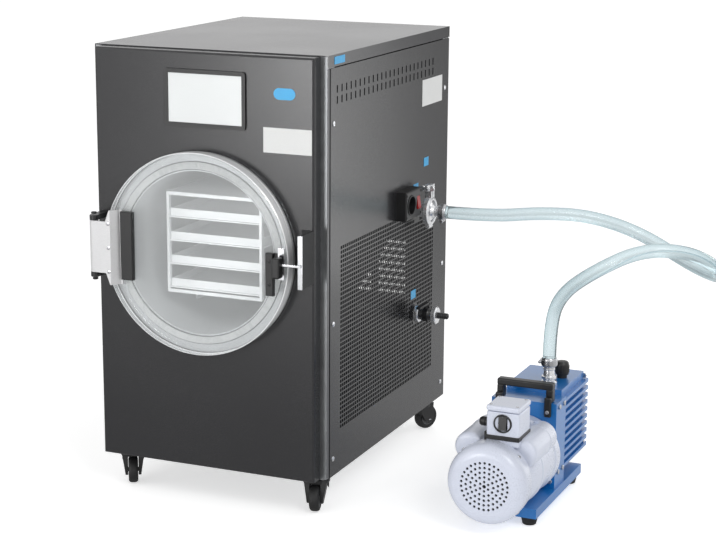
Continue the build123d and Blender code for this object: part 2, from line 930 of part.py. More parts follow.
pad_x = hinge_x + leaf_reach + pad_width / 2
with BuildPart() as hinge_pad:
    block(facing_front(pad_x, door_front, hinge_z + pad_lift), pad_width, pad_height, pad_thickness)
    fillet(hinge_pad.faces().sort_by(Axis.Y)[0].edges(), pad_round)
keep(hinge_pad, "hinge_pad")

# ================================================================ latch
latch_bar_lower = 16.0      # the bar hangs this much below the knob
with BuildPart() as latch_bar:
    block(
        facing_front(latch_bar_x, door_front, latch_z - latch_bar_lower),
        latch_bar_width,
        latch_bar_height,
        latch_bar_depth,
    )
    fillet(latch_bar.faces().sort_by(Axis.Y)[0].edges(), pad_round)
    base_middle = (latch_bar_x + latch_x + latch_base_width / 2) / 2
    block(
        facing_front(base_middle, door_front, latch_z),
        latch_x + latch_base_width / 2 - latch_bar_x,
        latch_base_height,
        latch_base_depth,
    )
    rod(
        facing_front(latch_x, door_front, latch_z),
        latch_shaft_radius + running_gap,
        latch_base_depth,
        Mode.SUBTRACT,
    )
keep(latch_bar, "latch_bar")

knob_back = door_front - latch_base_depth - knob_gap
strip_front = -strike_reach - strip_thickness
tongue_back = strip_front - tongue_gap
with BuildPart() as latch_knob:
    block(facing_front(latch_x, knob_back, latch_z), knob_width, knob_height, knob_depth)
    fillet(latch_knob.faces().sort_by(Axis.Y)[0].edges(), knob_round)
    rod(facing_front(latch_x, door_front - seat_gap, latch_z), latch_shaft_radius,
        latch_base_depth + knob_gap)
    block(
        facing_front(latch_x + tongue_reach / 2, tongue_back, latch_z + tongue_lift),
        tongue_reach,
        tongue_height,
        tongue_thickness,
    )
keep(latch_knob, "latch_knob")

strike_z = chamber_z + strike_z_above
strike_x = panel_width / 2 - strike_sheet / 2
lip_x = panel_width / 2 - strike_lip / 2
strike_foot = 22.0
with BuildPart() as latch_bracket:
    block(level(strike_x, -strike_reach / 2, strike_z - strike_height / 2), strike_sheet,
          strike_reach, strike_height)
    block(facing_front(lip_x, -strike_reach + strike_sheet, strike_z), strike_lip, strike_height,
          strike_sheet)
    block(facing_front(panel_width / 2 - strike_foot / 2, 0, strike_z), strike_foot,
          strike_height, strike_sheet)
keep(latch_bracket, "latch_bracket")

with BuildPart() as strike_strip:
    block(facing_front(lip_x, -strike_reach, strike_z), strike_lip, strike_height, strip_thickness)
keep(strike_strip, "strike_strip")

# ================================================================ screen and labels
screen_fit = 0.3
glass_width = screen_width - 2 * screen_border
glass_height = screen_height - 2 * screen_border
with BuildPart() as screen_bezel:
    block(facing_front(screen_x, 0, screen_z), screen_width, screen_height, screen_proud)
    fillet(screen_bezel.edges().filter_by(Axis.Y), screen_round)
    block(
        facing_back(screen_x, 0, screen_z),
        screen_cut_width - 2 * screen_fit,
        screen_cut_height - 2 * screen_fit,
        screen_depth,
    )
    block(
        facing_back(screen_x, -screen_proud, screen_z),
        glass_width,
        glass_height,
        glass_recess + glass_thickness,
        Mode.SUBTRACT,
    )
keep(screen_bezel, "screen_bezel")

with BuildPart() as screen_glass:
    block(
        facing_back(screen_x, glass_recess - screen_proud, screen_z),
        glass_width - 2 * screen_fit,
        glass_height - 2 * screen_fit,
        glass_thickness,
    )
keep(screen_glass, "screen_glass")

with BuildPart() as white_labels:
    block(facing_front(front_label_x, 0, front_label_z), front_label_width, front_label_height,
          label_thickness)
    block(facing_right(half_width, side_label_y, side_label_z), side_label_width,
          side_label_height, label_thickness)
keep(white_labels, "white_labels")

with BuildPart() as blue_labels:
    with BuildSketch(facing_front(front_pill_x, 0, front_pill_z)):
        SlotOverall(front_pill_width, front_pill_height)
    extrude(amount=label_thickness)
    for spot_y, spot_z in blue_spots:
        block(facing_right(half_width, spot_y, spot_z), blue_spot_width, blue_spot_height,
              label_thickness)
    block(facing_right(half_width, skirt_label_y, top_z - skirt / 2), skirt_label_width,
          skirt_label_height, label_thickness)
keep(blue_labels, "blue_labels")

# ================================================================ refrigeration
pan_floor = base_z + sheet
compressor_lift = 12.0
compressor_plate = 110.0
compressor_foot_radius = 8.0
compressor_foot_place = 43.0
compressor_stub = 10.0
stub_radius = 7.0
body_bottom = pan_floor + compressor_lift

with BuildPart() as compressor:
    rod(
        level(compressor_x, compressor_y, body_bottom),
        compressor_radius,
        compressor_height - compressor_lift - compressor_stub,
    )
    fillet(compressor.edges().filter_by(GeomType.CIRCLE), compressor_round)
    block(level(compressor_x, compressor_y, body_bottom), compressor_plate, compressor_plate, sheet)
    for foot_x in (-compressor_foot_place, compressor_foot_place):
        for foot_y in (-compressor_foot_place, compressor_foot_place):
            rod(
                level(compressor_x + foot_x, compressor_y + foot_y, pan_floor),
                compressor_foot_radius,
                compressor_lift,
            )
    rod(level(chamber_x, suction_y, compressor_top - 3 * compressor_stub), stub_radius,
        3 * compressor_stub)
keep(compressor, "compressor")

condenser_bottom = pan_floor + condenser_lift
condenser_face = condenser_x + condenser_thickness / 2
condenser_fin = 1.5
condenser_fin_pitch = 10.0
condenser_fin_count = 23
condenser_tank = 8.0

with BuildPart() as condenser:
    for end_y in (-1, 1):
        tank_y = condenser_y + end_y * (condenser_length - condenser_tank) / 2
        block(level(condenser_x, tank_y, pan_floor), condenser_thickness, condenser_tank,
              condenser_lift + condenser_height)
    for row_z in (condenser_bottom, condenser_bottom + condenser_height - condenser_tank):
        block(level(condenser_x, condenser_y, row_z), condenser_thickness, condenser_length,
              condenser_tank)
    block(
        level(condenser_x, condenser_y, condenser_bottom),
        condenser_thickness / 3,
        condenser_length,
        condenser_height,
    )
    with Locations(level(condenser_x, condenser_y, condenser_bottom + condenser_height / 2)):
        with GridLocations(1.0, condenser_fin_pitch, 1, condenser_fin_count):
            Box(condenser_thickness, condenser_fin, condenser_height)
keep(condenser, "condenser")

fan_z = condenser_bottom + condenser_height / 2
fan_hole = fan_radius + 2.0
arm_width = 10.0
arm_thickness = 4.0
arm_x = condenser_face + fan_depth - arm_thickness
hub_gap = 2.0
hub_length = fan_depth - arm_thickness - 2 * hub_gap
fan_shaft_end = fan_motor_length - 6.0

with BuildPart() as fan_shroud:
    block(facing_right(condenser_face, condenser_y, fan_z), fan_shroud_side, fan_shroud_side,
          fan_depth)
    rod(facing_right(condenser_face, condenser_y, fan_z), fan_hole, fan_depth, Mode.SUBTRACT)
    block(facing_right(arm_x, condenser_y, fan_z), fan_shroud_side, arm_width, arm_thickness)
    block(facing_right(arm_x, condenser_y, fan_z), arm_width, fan_shroud_side, arm_thickness)
    rod(facing_right(arm_x, condenser_y, fan_z), fan_motor_radius, fan_motor_length)
    rod(
        facing_right(arm_x, condenser_y, fan_z),
        fan_shaft_radius + running_gap,
        fan_shaft_end + 2.0,
        Mode.SUBTRACT,
    )
keep(fan_shroud, "fan_shroud")

blade_root = fan_hub_radius - 3.0
blade_length = fan_radius - blade_root
with BuildPart() as fan_blades:
    rod(facing_right(condenser_face + hub_gap, condenser_y, fan_z), fan_hub_radius, hub_length)
    rod(
        facing_right(condenser_face + hub_gap, condenser_y, fan_z),
        fan_shaft_radius,
        arm_x - condenser_face - hub_gap + fan_shaft_end,
    )
    with Locations(facing_right(condenser_face + hub_gap + hub_length / 2, condenser_y, fan_z)):
        with PolarLocations(blade_root + blade_length / 2, fan_blade_count):
            Box(blade_length, fan_blade_chord, sheet, rotation=(fan_blade_tilt, 0, 0))
keep(fan_blades, "fan_blades")

control_front = body_front + 15.0
with BuildPart() as control_box:
    block(
        level(screen_x, control_front + control_depth / 2, shelf_z + sheet),
        control_width,
        control_depth,
        control_height,
    )
    fillet(control_box.edges().filter_by(Axis.Z), control_round)
keep(control_box, "control_box")

# ================================================================ vacuum port
clamp_back = port_end - clamp_width / 2
bolt_z = port_z + clamp_radius + wing_span / 2 + 2.0
lug_thickness = 7.0
lug_gap = 3.0
lug_front = port_y - lug_gap / 2 - lug_thickness
lug_half_height = 6.0
nut_depth = 10.0
nut_hub_radius = 6.5
nut_wing = 4.0
bolt_front = lug_front - nut_depth - 5.0

with BuildPart() as port_clamp:
    rod(facing_right(clamp_back, port_y, port_z), clamp_radius, clamp_width)
    block(
        level(port_end, port_y, port_z),
        clamp_width,
        lug_gap + 2 * lug_thickness,
        bolt_z + lug_half_height - port_z,
    )
    rod(
        facing_right(clamp_back, port_y, port_z),
        kf_radius + clamp_ring_gap,
        clamp_width,
        Mode.SUBTRACT,
    )
    block(
        level(port_end, port_y, port_z + kf_radius + lug_gap),
        clamp_width,
        lug_gap,
        bolt_z,
        Mode.SUBTRACT,
    )
    rod(facing_back(port_end, bolt_front, bolt_z), wing_bolt_radius,
        port_y + lug_thickness - bolt_front)
keep(port_clamp, "port_clamp")

with BuildPart() as clamp_wing_nut:
    nut_face = facing_front(port_end, lug_front - seat_gap, bolt_z)
    rod(nut_face, nut_hub_radius, nut_depth)
    block(nut_face.offset(nut_depth / 4), wing_span, nut_wing, nut_depth / 2)
    rod(nut_face, wing_bolt_radius + running_gap, nut_depth, Mode.SUBTRACT)
keep(clamp_wing_nut, "clamp_wing_nut")

hose_start_x = port_end + adapter_length
with BuildPart() as hose_adapter:
    rod(facing_right(port_end, port_y, port_z), kf_radius, kf_thickness)
    rod(facing_right(port_end, port_y, port_z), adapter_radius, adapter_length)
    rod(
        facing_right(hose_start_x - hose_collar_length, port_y, port_z),
        hose_collar_radius,
        hose_collar_length,
    )
    fillet(hose_adapter.edges().group_by(Axis.X)[-1], fitting_round)
keep(hose_adapter, "hose_adapter")

# ================================================================ drain
valve_body_start = valve_start + valve_collar_length
valve_body_end = valve_body_start + valve_body_length
spout_start = valve_body_end + valve_collar_length
stem_x = valve_body_start + valve_body_length / 2
stem_depth = 8.0
stem_top = valve_body_radius + 6.0
handle_width = 9.0
handle_thickness = 4.0

with BuildPart() as drain_valve:
    rod(facing_right(valve_start, valve_y, valve_z), valve_collar_radius, valve_collar_length)
    rod(facing_right(valve_body_start, valve_y, valve_z), valve_body_radius, valve_body_length)
    rod(facing_right(valve_body_end, valve_y, valve_z), valve_collar_radius, valve_collar_length)
    rod(facing_right(spout_start, valve_y, valve_z), drain_spout_radius, drain_spout_length)
    rod(
        facing_right(valve_start, valve_y, valve_z),
        drain_inner / 2,
        valve_collar_length,
        Mode.SUBTRACT,
    )
    rod(
        facing_right(spout_start, valve_y, valve_z),
        drain_inner / 2,
        drain_spout_length,
        Mode.SUBTRACT,
    )
    rod(
        level(stem_x, valve_y, valve_z + valve_body_radius - stem_depth),
        handle_stem_radius + running_gap,
        stem_depth,
        Mode.SUBTRACT,
    )
keep(drain_valve, "drain_valve")

with BuildPart() as drain_handle:
    block(
        level(stem_x, valve_y - handle_length / 2 + handle_stem_radius, valve_z + stem_top),
        handle_width,
        handle_length,
        handle_thickness,
    )
    fillet(drain_handle.edges().filter_by(Axis.Z), handle_round)
    rod(
        level(stem_x, valve_y, valve_z + valve_body_radius - stem_depth + seat_gap),
        handle_stem_radius,
        stem_depth + stem_top - valve_body_radius,
    )
keep(drain_handle, "drain_handle")

# ================================================================ outlet and rockers
pivot_depth = 2.5           # rocker pins, below the face
seat_depth = pivot_depth + 7.0
seat_half_height = 13.3
pin_bore_reach = switch_width / 2 + switch_pin_length + 0.3


def pin_plane(face, reach):
    """Plane across a rocker's seat, looking along its pins."""
    middle = face.origin - face.z_dir * pivot_depth - face.x_dir * reach
    return Plane(middle, x_dir=face.y_dir, z_dir=face.x_dir)


def rocker_seat(face):
    """Window in a face and the two blind bores its rocker's pins turn in."""
    block(
        face.offset(-seat_depth),
        switch_width + 2 * switch_gap,
        2 * seat_half_height,
        seat_depth,
        Mode.SUBTRACT,
    )
    rod(
        pin_plane(face, pin_bore_reach),
        switch_pin_radius + running_gap,
        2 * pin_bore_reach,
        Mode.SUBTRACT,
    )


def rocker(face):
    """Rocker tilted to its off position, with its two pins."""
    with Locations(face.offset(-pivot_depth)):
        Box(switch_width, switch_height, switch_depth, rotation=(-rocker_throw, 0, 0))
    pin_reach = switch_width / 2 + switch_pin_length
    rod(pin_plane(face, pin_reach), switch_pin_radius, 2 * pin_reach)


outlet_face = half_width + outlet_depth
with BuildPart() as power_outlet:
    block(facing_right(half_width, outlet_y, outlet_z), outlet_width, outlet_height, outlet_depth)
    fillet(power_outlet.faces().sort_by(Axis.X)[-1].edges(), outlet_round)
    rod(
        facing_right(outlet_face - outlet_socket_depth, outlet_y + socket_offset, outlet_z),
        outlet_socket_radius,
        outlet_socket_depth,
        Mode.SUBTRACT,
    )
    rocker_seat(facing_right(outlet_face, outlet_y + switch_offset, outlet_z))
keep(power_outlet, "power_outlet")

with BuildPart() as power_switch:
    rocker(facing_right(outlet_face, outlet_y + switch_offset, outlet_z))
keep(power_switch, "power_switch")

# ================================================================ vacuum pump
motor_shell_radius = motor_radius - cover_wall - seat_gap
shaft_end = motor_front + motor_length - rotor_shaft_short
capacitor_shift = capacitor_distance * cos(radians(capacitor_angle))
capacitor_z = motor_axis_z + capacitor_shift
capacitor_front = motor_front + capacitor_inset
oil_box_back = oil_box_front + oil_box_length

with BuildPart() as motor_fan_cover:
    rod(facing_back(pump_x, pump_y, motor_axis_z), motor_radius, cover_length)
    fillet(motor_fan_cover.edges().group_by(Axis.Y)[0], cover_dome)
    rod(
        facing_back(pump_x, pump_y + cover_wall, motor_axis_z),
        cover_dome_inside,
        cover_dome_depth,
        Mode.SUBTRACT,
    )
    rod(
        facing_back(pump_x, pump_y + cover_dome_depth, motor_axis_z),
        motor_radius - cover_wall,
        cover_length,
        Mode.SUBTRACT,
    )
    rod(facing_back(pump_x, pump_y, motor_axis_z), cover_hole_radius, cover_wall, Mode.SUBTRACT)
    for ring in range(1, cover_hole_rings + 1):
        with Locations(facing_back(pump_x, pump_y, motor_axis_z)):
            with PolarLocations(ring * cover_hole_pitch, 6 * ring):
                Cylinder(cover_hole_radius, 3 * cover_wall, mode=Mode.SUBTRACT)
keep(motor_fan_cover, "motor_fan_cover")

with BuildPart() as motor_shell:
    rod(facing_back(pump_x, motor_front, motor_axis_z), motor_shell_radius, motor_length)
    for side in (-1, 1):
        rod(
            facing_back(pump_x + side * capacitor_shift, capacitor_front, capacitor_z),
            capacitor_radius,
            capacitor_length,
        )
    rod(
        facing_back(pump_x, motor_front, motor_axis_z),
        rotor_shaft_radius + running_gap,
        shaft_end - motor_front + rotor_shaft_play,
        Mode.SUBTRACT,
    )
keep(motor_shell, "motor_shell")

rotor_fan_front = pump_y + cover_wall + rotor_fan_gap
rotor_blade_count = 8
rotor_blade = 3.0
with BuildPart() as motor_rotor:
    rod(
        facing_back(pump_x, rotor_fan_front, motor_axis_z),
        rotor_shaft_radius,
        shaft_end - rotor_fan_front,
    )
    rod(
        facing_back(pump_x, rotor_fan_front + rotor_fan_depth - rotor_blade, motor_axis_z),
        rotor_fan_radius,
        rotor_blade,
    )
    with Locations(facing_back(pump_x, rotor_fan_front + rotor_fan_depth / 2, motor_axis_z)):
        with PolarLocations(rotor_fan_radius / 2, rotor_blade_count):
            Box(rotor_fan_radius - rotor_blade, rotor_blade, rotor_fan_depth)
keep(motor_rotor, "motor_rotor")

box_bottom = capacitor_z
box_top = motor_axis_z + motor_radius + terminal_height
box_front = motor_front + terminal_inset
with BuildPart() as junction_box:
    block(
        level(pump_x + terminal_x, box_front + terminal_depth / 2, box_bottom),
        terminal_width,
        terminal_depth,
        box_top - box_bottom,
    )
    fillet(junction_box.edges().filter_by(Axis.Z), terminal_round)
    rod(
        facing_back(pump_x, motor_front, motor_axis_z),
        motor_radius + seat_gap,
        motor_length,
        Mode.SUBTRACT,
    )
    for side in (-1, 1):
        rod(
            facing_back(pump_x + side * capacitor_shift, motor_front, capacitor_z),
            capacitor_radius + seat_gap,
            capacitor_length,
            Mode.SUBTRACT,
        )
    rocker_seat(facing_front(pump_x + terminal_x, box_front, box_top - terminal_height / 2))
keep(junction_box, "junction_box")

with BuildPart() as pump_switch:
    rocker(facing_front(pump_x + terminal_x, box_front, box_top - terminal_height / 2))
keep(pump_switch, "pump_switch")

casing_bottom = base_bottom + base_thickness
mid_y = casing_front + casing_mid_length / 2
oil_box_y = oil_box_front + oil_box_length / 2
mid_top = casing_top - casing_step
base_front = casing_front - base_forward
base_back = oil_box_back - base_short
fin_first = oil_box_bottom + fin_thickness
fin_pitch = 14.0
with BuildPart() as pump_casing:
    block(level(pump_x, mid_y, casing_bottom), 2 * casing_half_width, casing_mid_length,
          mid_top - casing_bottom)
    block(
        level(pump_x, oil_box_y - fin_reach / 2, oil_box_bottom),
        2 * (casing_half_width - fin_reach),
        oil_box_length - fin_reach,
        casing_top - oil_box_bottom,
    )
    for fin in range(fin_count):
        block(
            level(pump_x, oil_box_y, fin_first + fin * fin_pitch),
            2 * casing_half_width,
            oil_box_length,
            fin_thickness,
        )
    fillet(pump_casing.edges().filter_by(Axis.Z).group_by(Axis.Y)[-1], casing_round)
    block(
        level(pump_x, (base_front + base_back) / 2, base_bottom),
        2 * base_half_width,
        base_back - base_front,
        base_thickness,
    )
    rod(
        facing_back(pump_x, base_front - 1.0, motor_axis_z),
        motor_radius,
        casing_front - base_front + 1.0,
        Mode.SUBTRACT,
    )
keep(pump_casing, "pump_casing")

with BuildPart() as pump_feet:
    for foot_x in (foot_inset - base_half_width, base_half_width - foot_inset):
        for foot_y in (base_front + foot_inset, base_back - foot_inset):
            rod(level(pump_x + foot_x, foot_y, 0), foot_radius, base_bottom)
keep(pump_feet, "pump_feet")

carry_y = casing_front + carry_inset
carry_mid = carry_width - 2 * carry_bar
with BuildPart() as pump_handle:
    block(level(pump_x, carry_y, mid_top), carry_width, 2 * carry_bar, carry_rise)
    fillet(pump_handle.edges().filter_by(Axis.Y).group_by(Axis.Z)[-1], carry_round)
    block(
        level(pump_x, carry_y, mid_top),
        carry_mid,
        2 * carry_bar,
        carry_rise - carry_bar,
        Mode.SUBTRACT,
    )
    for side in (-1, 1):
        leg_x = pump_x + side * (carry_width - carry_bar) / 2
        block(
            level(leg_x, casing_front - carry_leg_depth / 2, mid_top - carry_leg_drop),
            carry_bar,
            carry_leg_depth,
            carry_leg_drop + carry_bar,
        )
keep(pump_handle, "pump_handle")

intake_place_y = oil_box_front + intake_y
intake_top = casing_top + intake_height
intake_nut_radius = 15.0
intake_nut_height = 8.0
with BuildPart() as pump_inlet:
    intake_plane = level(pump_x + intake_x, intake_place_y, casing_top)
    rod(intake_plane, intake_radius, intake_height)
    rod(intake_plane, intake_nut_radius, intake_nut_height)
    rod(intake_plane.offset(intake_height - hose_collar_length), hose_collar_radius,
        hose_collar_length)
    fillet(pump_inlet.edges().group_by(Axis.Z)[-1], fitting_round)
keep(pump_inlet, "pump_inlet")

with BuildPart() as exhaust_cap:
    exhaust_plane = level(pump_x + exhaust_x, oil_box_front + exhaust_y, casing_top)
    rod(exhaust_plane, exhaust_radius - exhaust_neck_step, exhaust_neck)
    rod(exhaust_plane.offset(exhaust_neck), exhaust_radius, exhaust_height)
    fillet(exhaust_cap.edges().group_by(Axis.Z)[-1], exhaust_round)
keep(exhaust_cap, "exhaust_cap")

# ================================================================ vacuum hose
hose_radius = hose_diameter / 2
bend_share = 0.45           # of the shorter run, given to a bend at each end
hose_route = (
    (hose_start_x, port_y, port_z),
    (385.0, port_y, port_z),
    (471.0, 476.0, 495.0),
    (560.0, 515.0, 493.0),
    (650.0, 561.0, 470.0),
    (752.0, 548.0, 441.0),
    (823.0, 481.0, 433.0),
    (842.0, 391.0, 440.0),
    (805.0, 308.0, 456.0),
    (727.0, 262.0, 466.0),
    (637.0, 263.0, 449.0),
    (570.0, 304.0, 400.0),
    (pump_x + intake_x, intake_place_y, 334.0),
    (pump_x + intake_x, intake_place_y, intake_top),
)
route = [Vector(cab_x + x, front_y + y, z) for x, y, z in hose_route]


def bend_radius(before, corner, after):
    """Radius of the bend that uses its share of the shorter run."""
    run_in = corner - before
    run_out = after - corner
    half_turn = radians(run_in.get_angle(run_out)) / 2
    return bend_share * min(run_in.length, run_out.length) / tan(half_turn)


bends = [
    bend_radius(route[place - 1], route[place], route[place + 1])
    for place in range(1, len(route) - 1)
]
print("hose bend radii, mm:", [round(bend) for bend in bends])

with BuildPart() as vacuum_hose:
    with BuildLine() as hose_line:
        FilletPolyline(*route, radius=bends)
    with BuildSketch(Plane(route[0], z_dir=route[1] - route[0])):
        Circle(hose_radius)
    sweep(path=hose_line.line)
keep(vacuum_hose, "vacuum_hose")
print("hose length, mm:", round(hose_line.wire().length, 1))
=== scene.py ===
import math

import bmesh
import bpy
from mathutils import Matrix, Vector


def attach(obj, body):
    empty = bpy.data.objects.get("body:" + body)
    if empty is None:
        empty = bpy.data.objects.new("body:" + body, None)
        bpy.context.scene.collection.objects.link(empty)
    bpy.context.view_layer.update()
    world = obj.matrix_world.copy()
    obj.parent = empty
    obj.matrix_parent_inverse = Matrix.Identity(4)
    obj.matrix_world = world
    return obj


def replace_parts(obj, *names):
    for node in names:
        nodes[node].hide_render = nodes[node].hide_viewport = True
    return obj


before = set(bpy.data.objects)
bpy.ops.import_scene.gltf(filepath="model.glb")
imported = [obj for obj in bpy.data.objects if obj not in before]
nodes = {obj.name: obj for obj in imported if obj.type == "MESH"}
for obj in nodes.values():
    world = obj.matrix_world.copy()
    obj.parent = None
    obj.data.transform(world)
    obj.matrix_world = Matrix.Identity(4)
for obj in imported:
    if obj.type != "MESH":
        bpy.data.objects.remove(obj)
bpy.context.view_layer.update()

# The cabinet's own coordinates, in millimetres: x from its centre line, y back from the front panel's
# face, z up from the floor. spot() turns them into the frame's metres.
CAB_X = -184.7916
FRONT_Y = -276.75

# places that several pieces share
HALF = 229.5                                  # half of the body's width
BACK_Y = 615                                  # the back panel's face
PORT_Y, PORT_Z, PORT_END = 450, 488, 255.5    # axis of the vacuum port, and the end of its flange
VALVE_Y, VALVE_Z = 442, 283                   # axis of the drain valve
INTAKE_X, INTAKE_Y = 543, 330                 # axis of the pump's inlet
CASTING_TOP = 205


def spot(x, y, z):
    return Vector(((CAB_X + x) / 1000, (FRONT_Y + y) / 1000, z / 1000))


# ------------------------------------------------------------------ camera
YAW, PITCH, ROLL = math.radians(23.15), math.radians(12.96), math.radians(0.35)
EYE = (1521.3, -2861.1, 1184.4)
ahead = Vector((-math.sin(YAW) * math.cos(PITCH), math.cos(YAW) * math.cos(PITCH), -math.sin(PITCH)))
level_right = Vector((math.cos(YAW), math.sin(YAW), 0))
level_up = level_right.cross(ahead)
cam_right = math.cos(ROLL) * level_right + math.sin(ROLL) * level_up
cam_up = math.cos(ROLL) * level_up - math.sin(ROLL) * level_right
lens = bpy.data.cameras.new("camera")
lens.sensor_width = 36
lens.lens = 93.61
lens.clip_end = 60
camera = bpy.data.objects.new("camera", lens)
bpy.context.collection.objects.link(camera)
turn = Matrix((cam_right, cam_up, -ahead)).transposed().to_4x4()
camera.matrix_world = Matrix.Translation(spot(*EYE)) @ turn
bpy.context.scene.camera = camera


# ------------------------------------------------------------------ material nodes
def tree(name):
    """A new material, its nodes, its links and its surface shader."""
    mat = bpy.data.materials.new(name)
    mat.use_nodes = True
    return mat, mat.node_tree.nodes, mat.node_tree.links, mat.node_tree.nodes["Principled BSDF"]


def feed(l, value, socket):
    """Joins an output to a socket, or sets the socket to a number."""
    if isinstance(value, bpy.types.NodeSocket):
        l.new(value, socket)
    else:
        socket.default_value = value


def calc(n, l, operation, *values):
    """Output of a Math node on outputs or numbers."""
    node = n.new("ShaderNodeMath")
    node.operation = operation
    for value, socket in zip(values, node.inputs):
        feed(l, value, socket)
    return node.outputs[0]


def spread_out(n, l, value, low, high, first=0.0, last=1.0):
    """Output of a Map Range node that takes low..high to first..last and holds its ends."""
    node = n.new("ShaderNodeMapRange")
    for name, number in (("From Min", low), ("From Max", high), ("To Min", first), ("To Max", last)):
        node.inputs[name].default_value = number
    l.new(value, node.inputs["Value"])
    return node.outputs["Result"]


def noise(n, l, vector, scale, detail):
    node = n.new("ShaderNodeTexNoise")
    node.inputs["Scale"].default_value = scale
    node.inputs["Detail"].default_value = detail
    l.new(vector, node.inputs["Vector"])
    return node.outputs["Fac"]


def mix(n, l, kind, factor, first, second):
    """Output of a Mix node of one kind: FLOAT or RGBA."""
    node = n.new("ShaderNodeMix")
    node.data_type = kind
    for value, name in ((factor, "Factor"), (first, "A"), (second, "B")):
        feed(l, value, node.inputs[name])
    return node.outputs["Result"]


def two_tones(n, l, value, low, high, places=(0.0, 1.0)):
    """Output of a Color Ramp node between two colours."""
    ramp = n.new("ShaderNodeValToRGB")
    for element, place, colour in zip(ramp.color_ramp.elements, places, (low, high)):
        element.position = place
        element.color = list(colour) + [1]
    l.new(value, ramp.inputs["Fac"])
    return ramp.outputs["Color"]


def linear(values):
    """sRGB 0..255 to linear."""
    out = []
    for v in values:
        v = v / 255
        out.append(v / 12.92 if v <= 0.04045 else ((v + 0.055) / 1.055) ** 2.4)
    return out


FINE_SHARE, BROAD_SHARE = 0.6, 0.4            # of the grain and of the smudges in a surface's variation
NOISE_LOW, NOISE_HIGH = 0.3, 0.7              # where that variation has its darkest and palest tone


def finish(name, colour, rough, metal=0.0, grain=700, spread=0.10, bump=0.10, depth=0.0002, stretch=(1, 1, 1),
           rough_spread=0.06, coat=0.0, coat_rough=0.1, smudge=9):
    """One surface: a fine grain in colour and height, with broad smudges in colour and roughness."""
    mat, n, l, bsdf = tree(name)
    place = n.new("ShaderNodeTexCoord").outputs["Object"]
    scale = n.new("ShaderNodeMapping")
    scale.inputs["Scale"].default_value = stretch
    l.new(place, scale.inputs["Vector"])
    fine = noise(n, l, scale.outputs["Vector"], grain, 3)
    broad = calc(n, l, "MULTIPLY", noise(n, l, place, smudge, 4), BROAD_SHARE)
    both = calc(n, l, "MULTIPLY_ADD", fine, FINE_SHARE, broad)
    dark, pale = ([min(1, c * (1 + change)) for c in linear(colour)] for change in (-spread, spread))
    l.new(two_tones(n, l, both, dark, pale, (NOISE_LOW, NOISE_HIGH)), bsdf.inputs["Base Color"])
    low, high = max(0.02, rough - rough_spread), rough + rough_spread
    l.new(spread_out(n, l, both, NOISE_LOW, NOISE_HIGH, low, high), bsdf.inputs["Roughness"])
    dent = n.new("ShaderNodeBump")
    dent.inputs["Strength"].default_value = bump
    dent.inputs["Distance"].default_value = depth
    l.new(fine, dent.inputs["Height"])
    l.new(dent.outputs["Normal"], bsdf.inputs["Normal"])
    bsdf.inputs["Metallic"].default_value = metal
    if coat:
        bsdf.inputs["Coat Weight"].default_value = coat
        bsdf.inputs["Coat Roughness"].default_value = coat_rough
    return mat


def clear(name, colour, rough, ior, weight, haze, grain, edge=None):
    """Clear plastic with faint haze and scuffs."""
    mat, n, l, bsdf = tree(name)
    scuff = noise(n, l, n.new("ShaderNodeTexCoord").outputs["Object"], grain, 5)
    l.new(spread_out(n, l, scuff, 0, 1, rough, rough + haze), bsdf.inputs["Roughness"])
    base = linear(colour)
    tone = two_tones(n, l, scuff, [c * 0.96 for c in base], base)
    if edge:
        # a tube's wall is seen edge on at its sides, so it is darker there
        facing = n.new("ShaderNodeLayerWeight")
        facing.inputs["Blend"].default_value = 0.32
        tone = mix(n, l, "RGBA", facing.outputs["Facing"], tone, linear(edge) + [1])
    l.new(tone, bsdf.inputs["Base Color"])
    bsdf.inputs["IOR"].default_value = ior
    bsdf.inputs["Transmission Weight"].default_value = weight
    # light and shadow pass straight through, so what lies behind is lit
    path = n.new("ShaderNodeLightPath")
    passing = calc(n, l, "MAXIMUM", path.outputs["Is Shadow Ray"], path.outputs["Is Diffuse Ray"])
    l.new(spread_out(n, l, passing, 0, 1, 1, 0), bsdf.inputs["Alpha"])
    return mat


# ------------------------------------------------------------------ materials
PAINT = finish("charcoal paint", (39, 39, 41), 0.26, grain=900, bump=0.12, depth=0.0001, rough_spread=0.04,
               smudge=3)
LID = finish("lid paint", (44, 44, 47), 0.24, grain=900, bump=0.20, depth=0.0001, smudge=3)
ZINC = finish("galvanised sheet", (150, 152, 154), 0.42, metal=1.0, grain=45, spread=0.18, bump=0.05)
BRUSHED = finish("brushed stainless", (202, 202, 203), 0.42, metal=0.4, grain=240, bump=0.25, depth=0.00008,
                 stretch=(1, 1, 14))
DRUM = finish("drum stainless", (196, 197, 198), 0.46, metal=0.12, grain=260, spread=0.08, bump=0.20,
              depth=0.00008, stretch=(9, 1, 9))
TRAY = finish("tray stainless", (248, 249, 250), 0.34, metal=0.08, grain=200, spread=0.06, bump=0.15,
              depth=0.00006, stretch=(1, 12, 12))
CHROME = finish("polished steel", (214, 215, 218), 0.12, metal=1.0, grain=300, spread=0.06, bump=0.05,
                depth=0.00004, rough_spread=0.05)
ZINCED = finish("zinc plated steel", (186, 187, 190), 0.26, metal=1.0, grain=500, spread=0.12)
BLACK = finish("black moulding", (22, 22, 23), 0.40, grain=1400, spread=0.18, bump=0.35, depth=0.00012)
SATIN_BLACK = finish("black coated steel", (27, 27, 29), 0.34, grain=900, spread=0.15, bump=0.2, depth=0.0001)
RUBBER = finish("rubber", (21, 21, 22), 0.62, grain=1100, spread=0.25, bump=0.45, depth=0.00015)
SEAL = finish("pale silicone", (196, 198, 198), 0.42, grain=500, spread=0.05, bump=0.15, depth=0.0001)
FLANGE = finish("flange steel", (172, 173, 174), 0.40, metal=0.25, grain=260, spread=0.05, bump=0.15,
                depth=0.00006, stretch=(9, 1, 9))
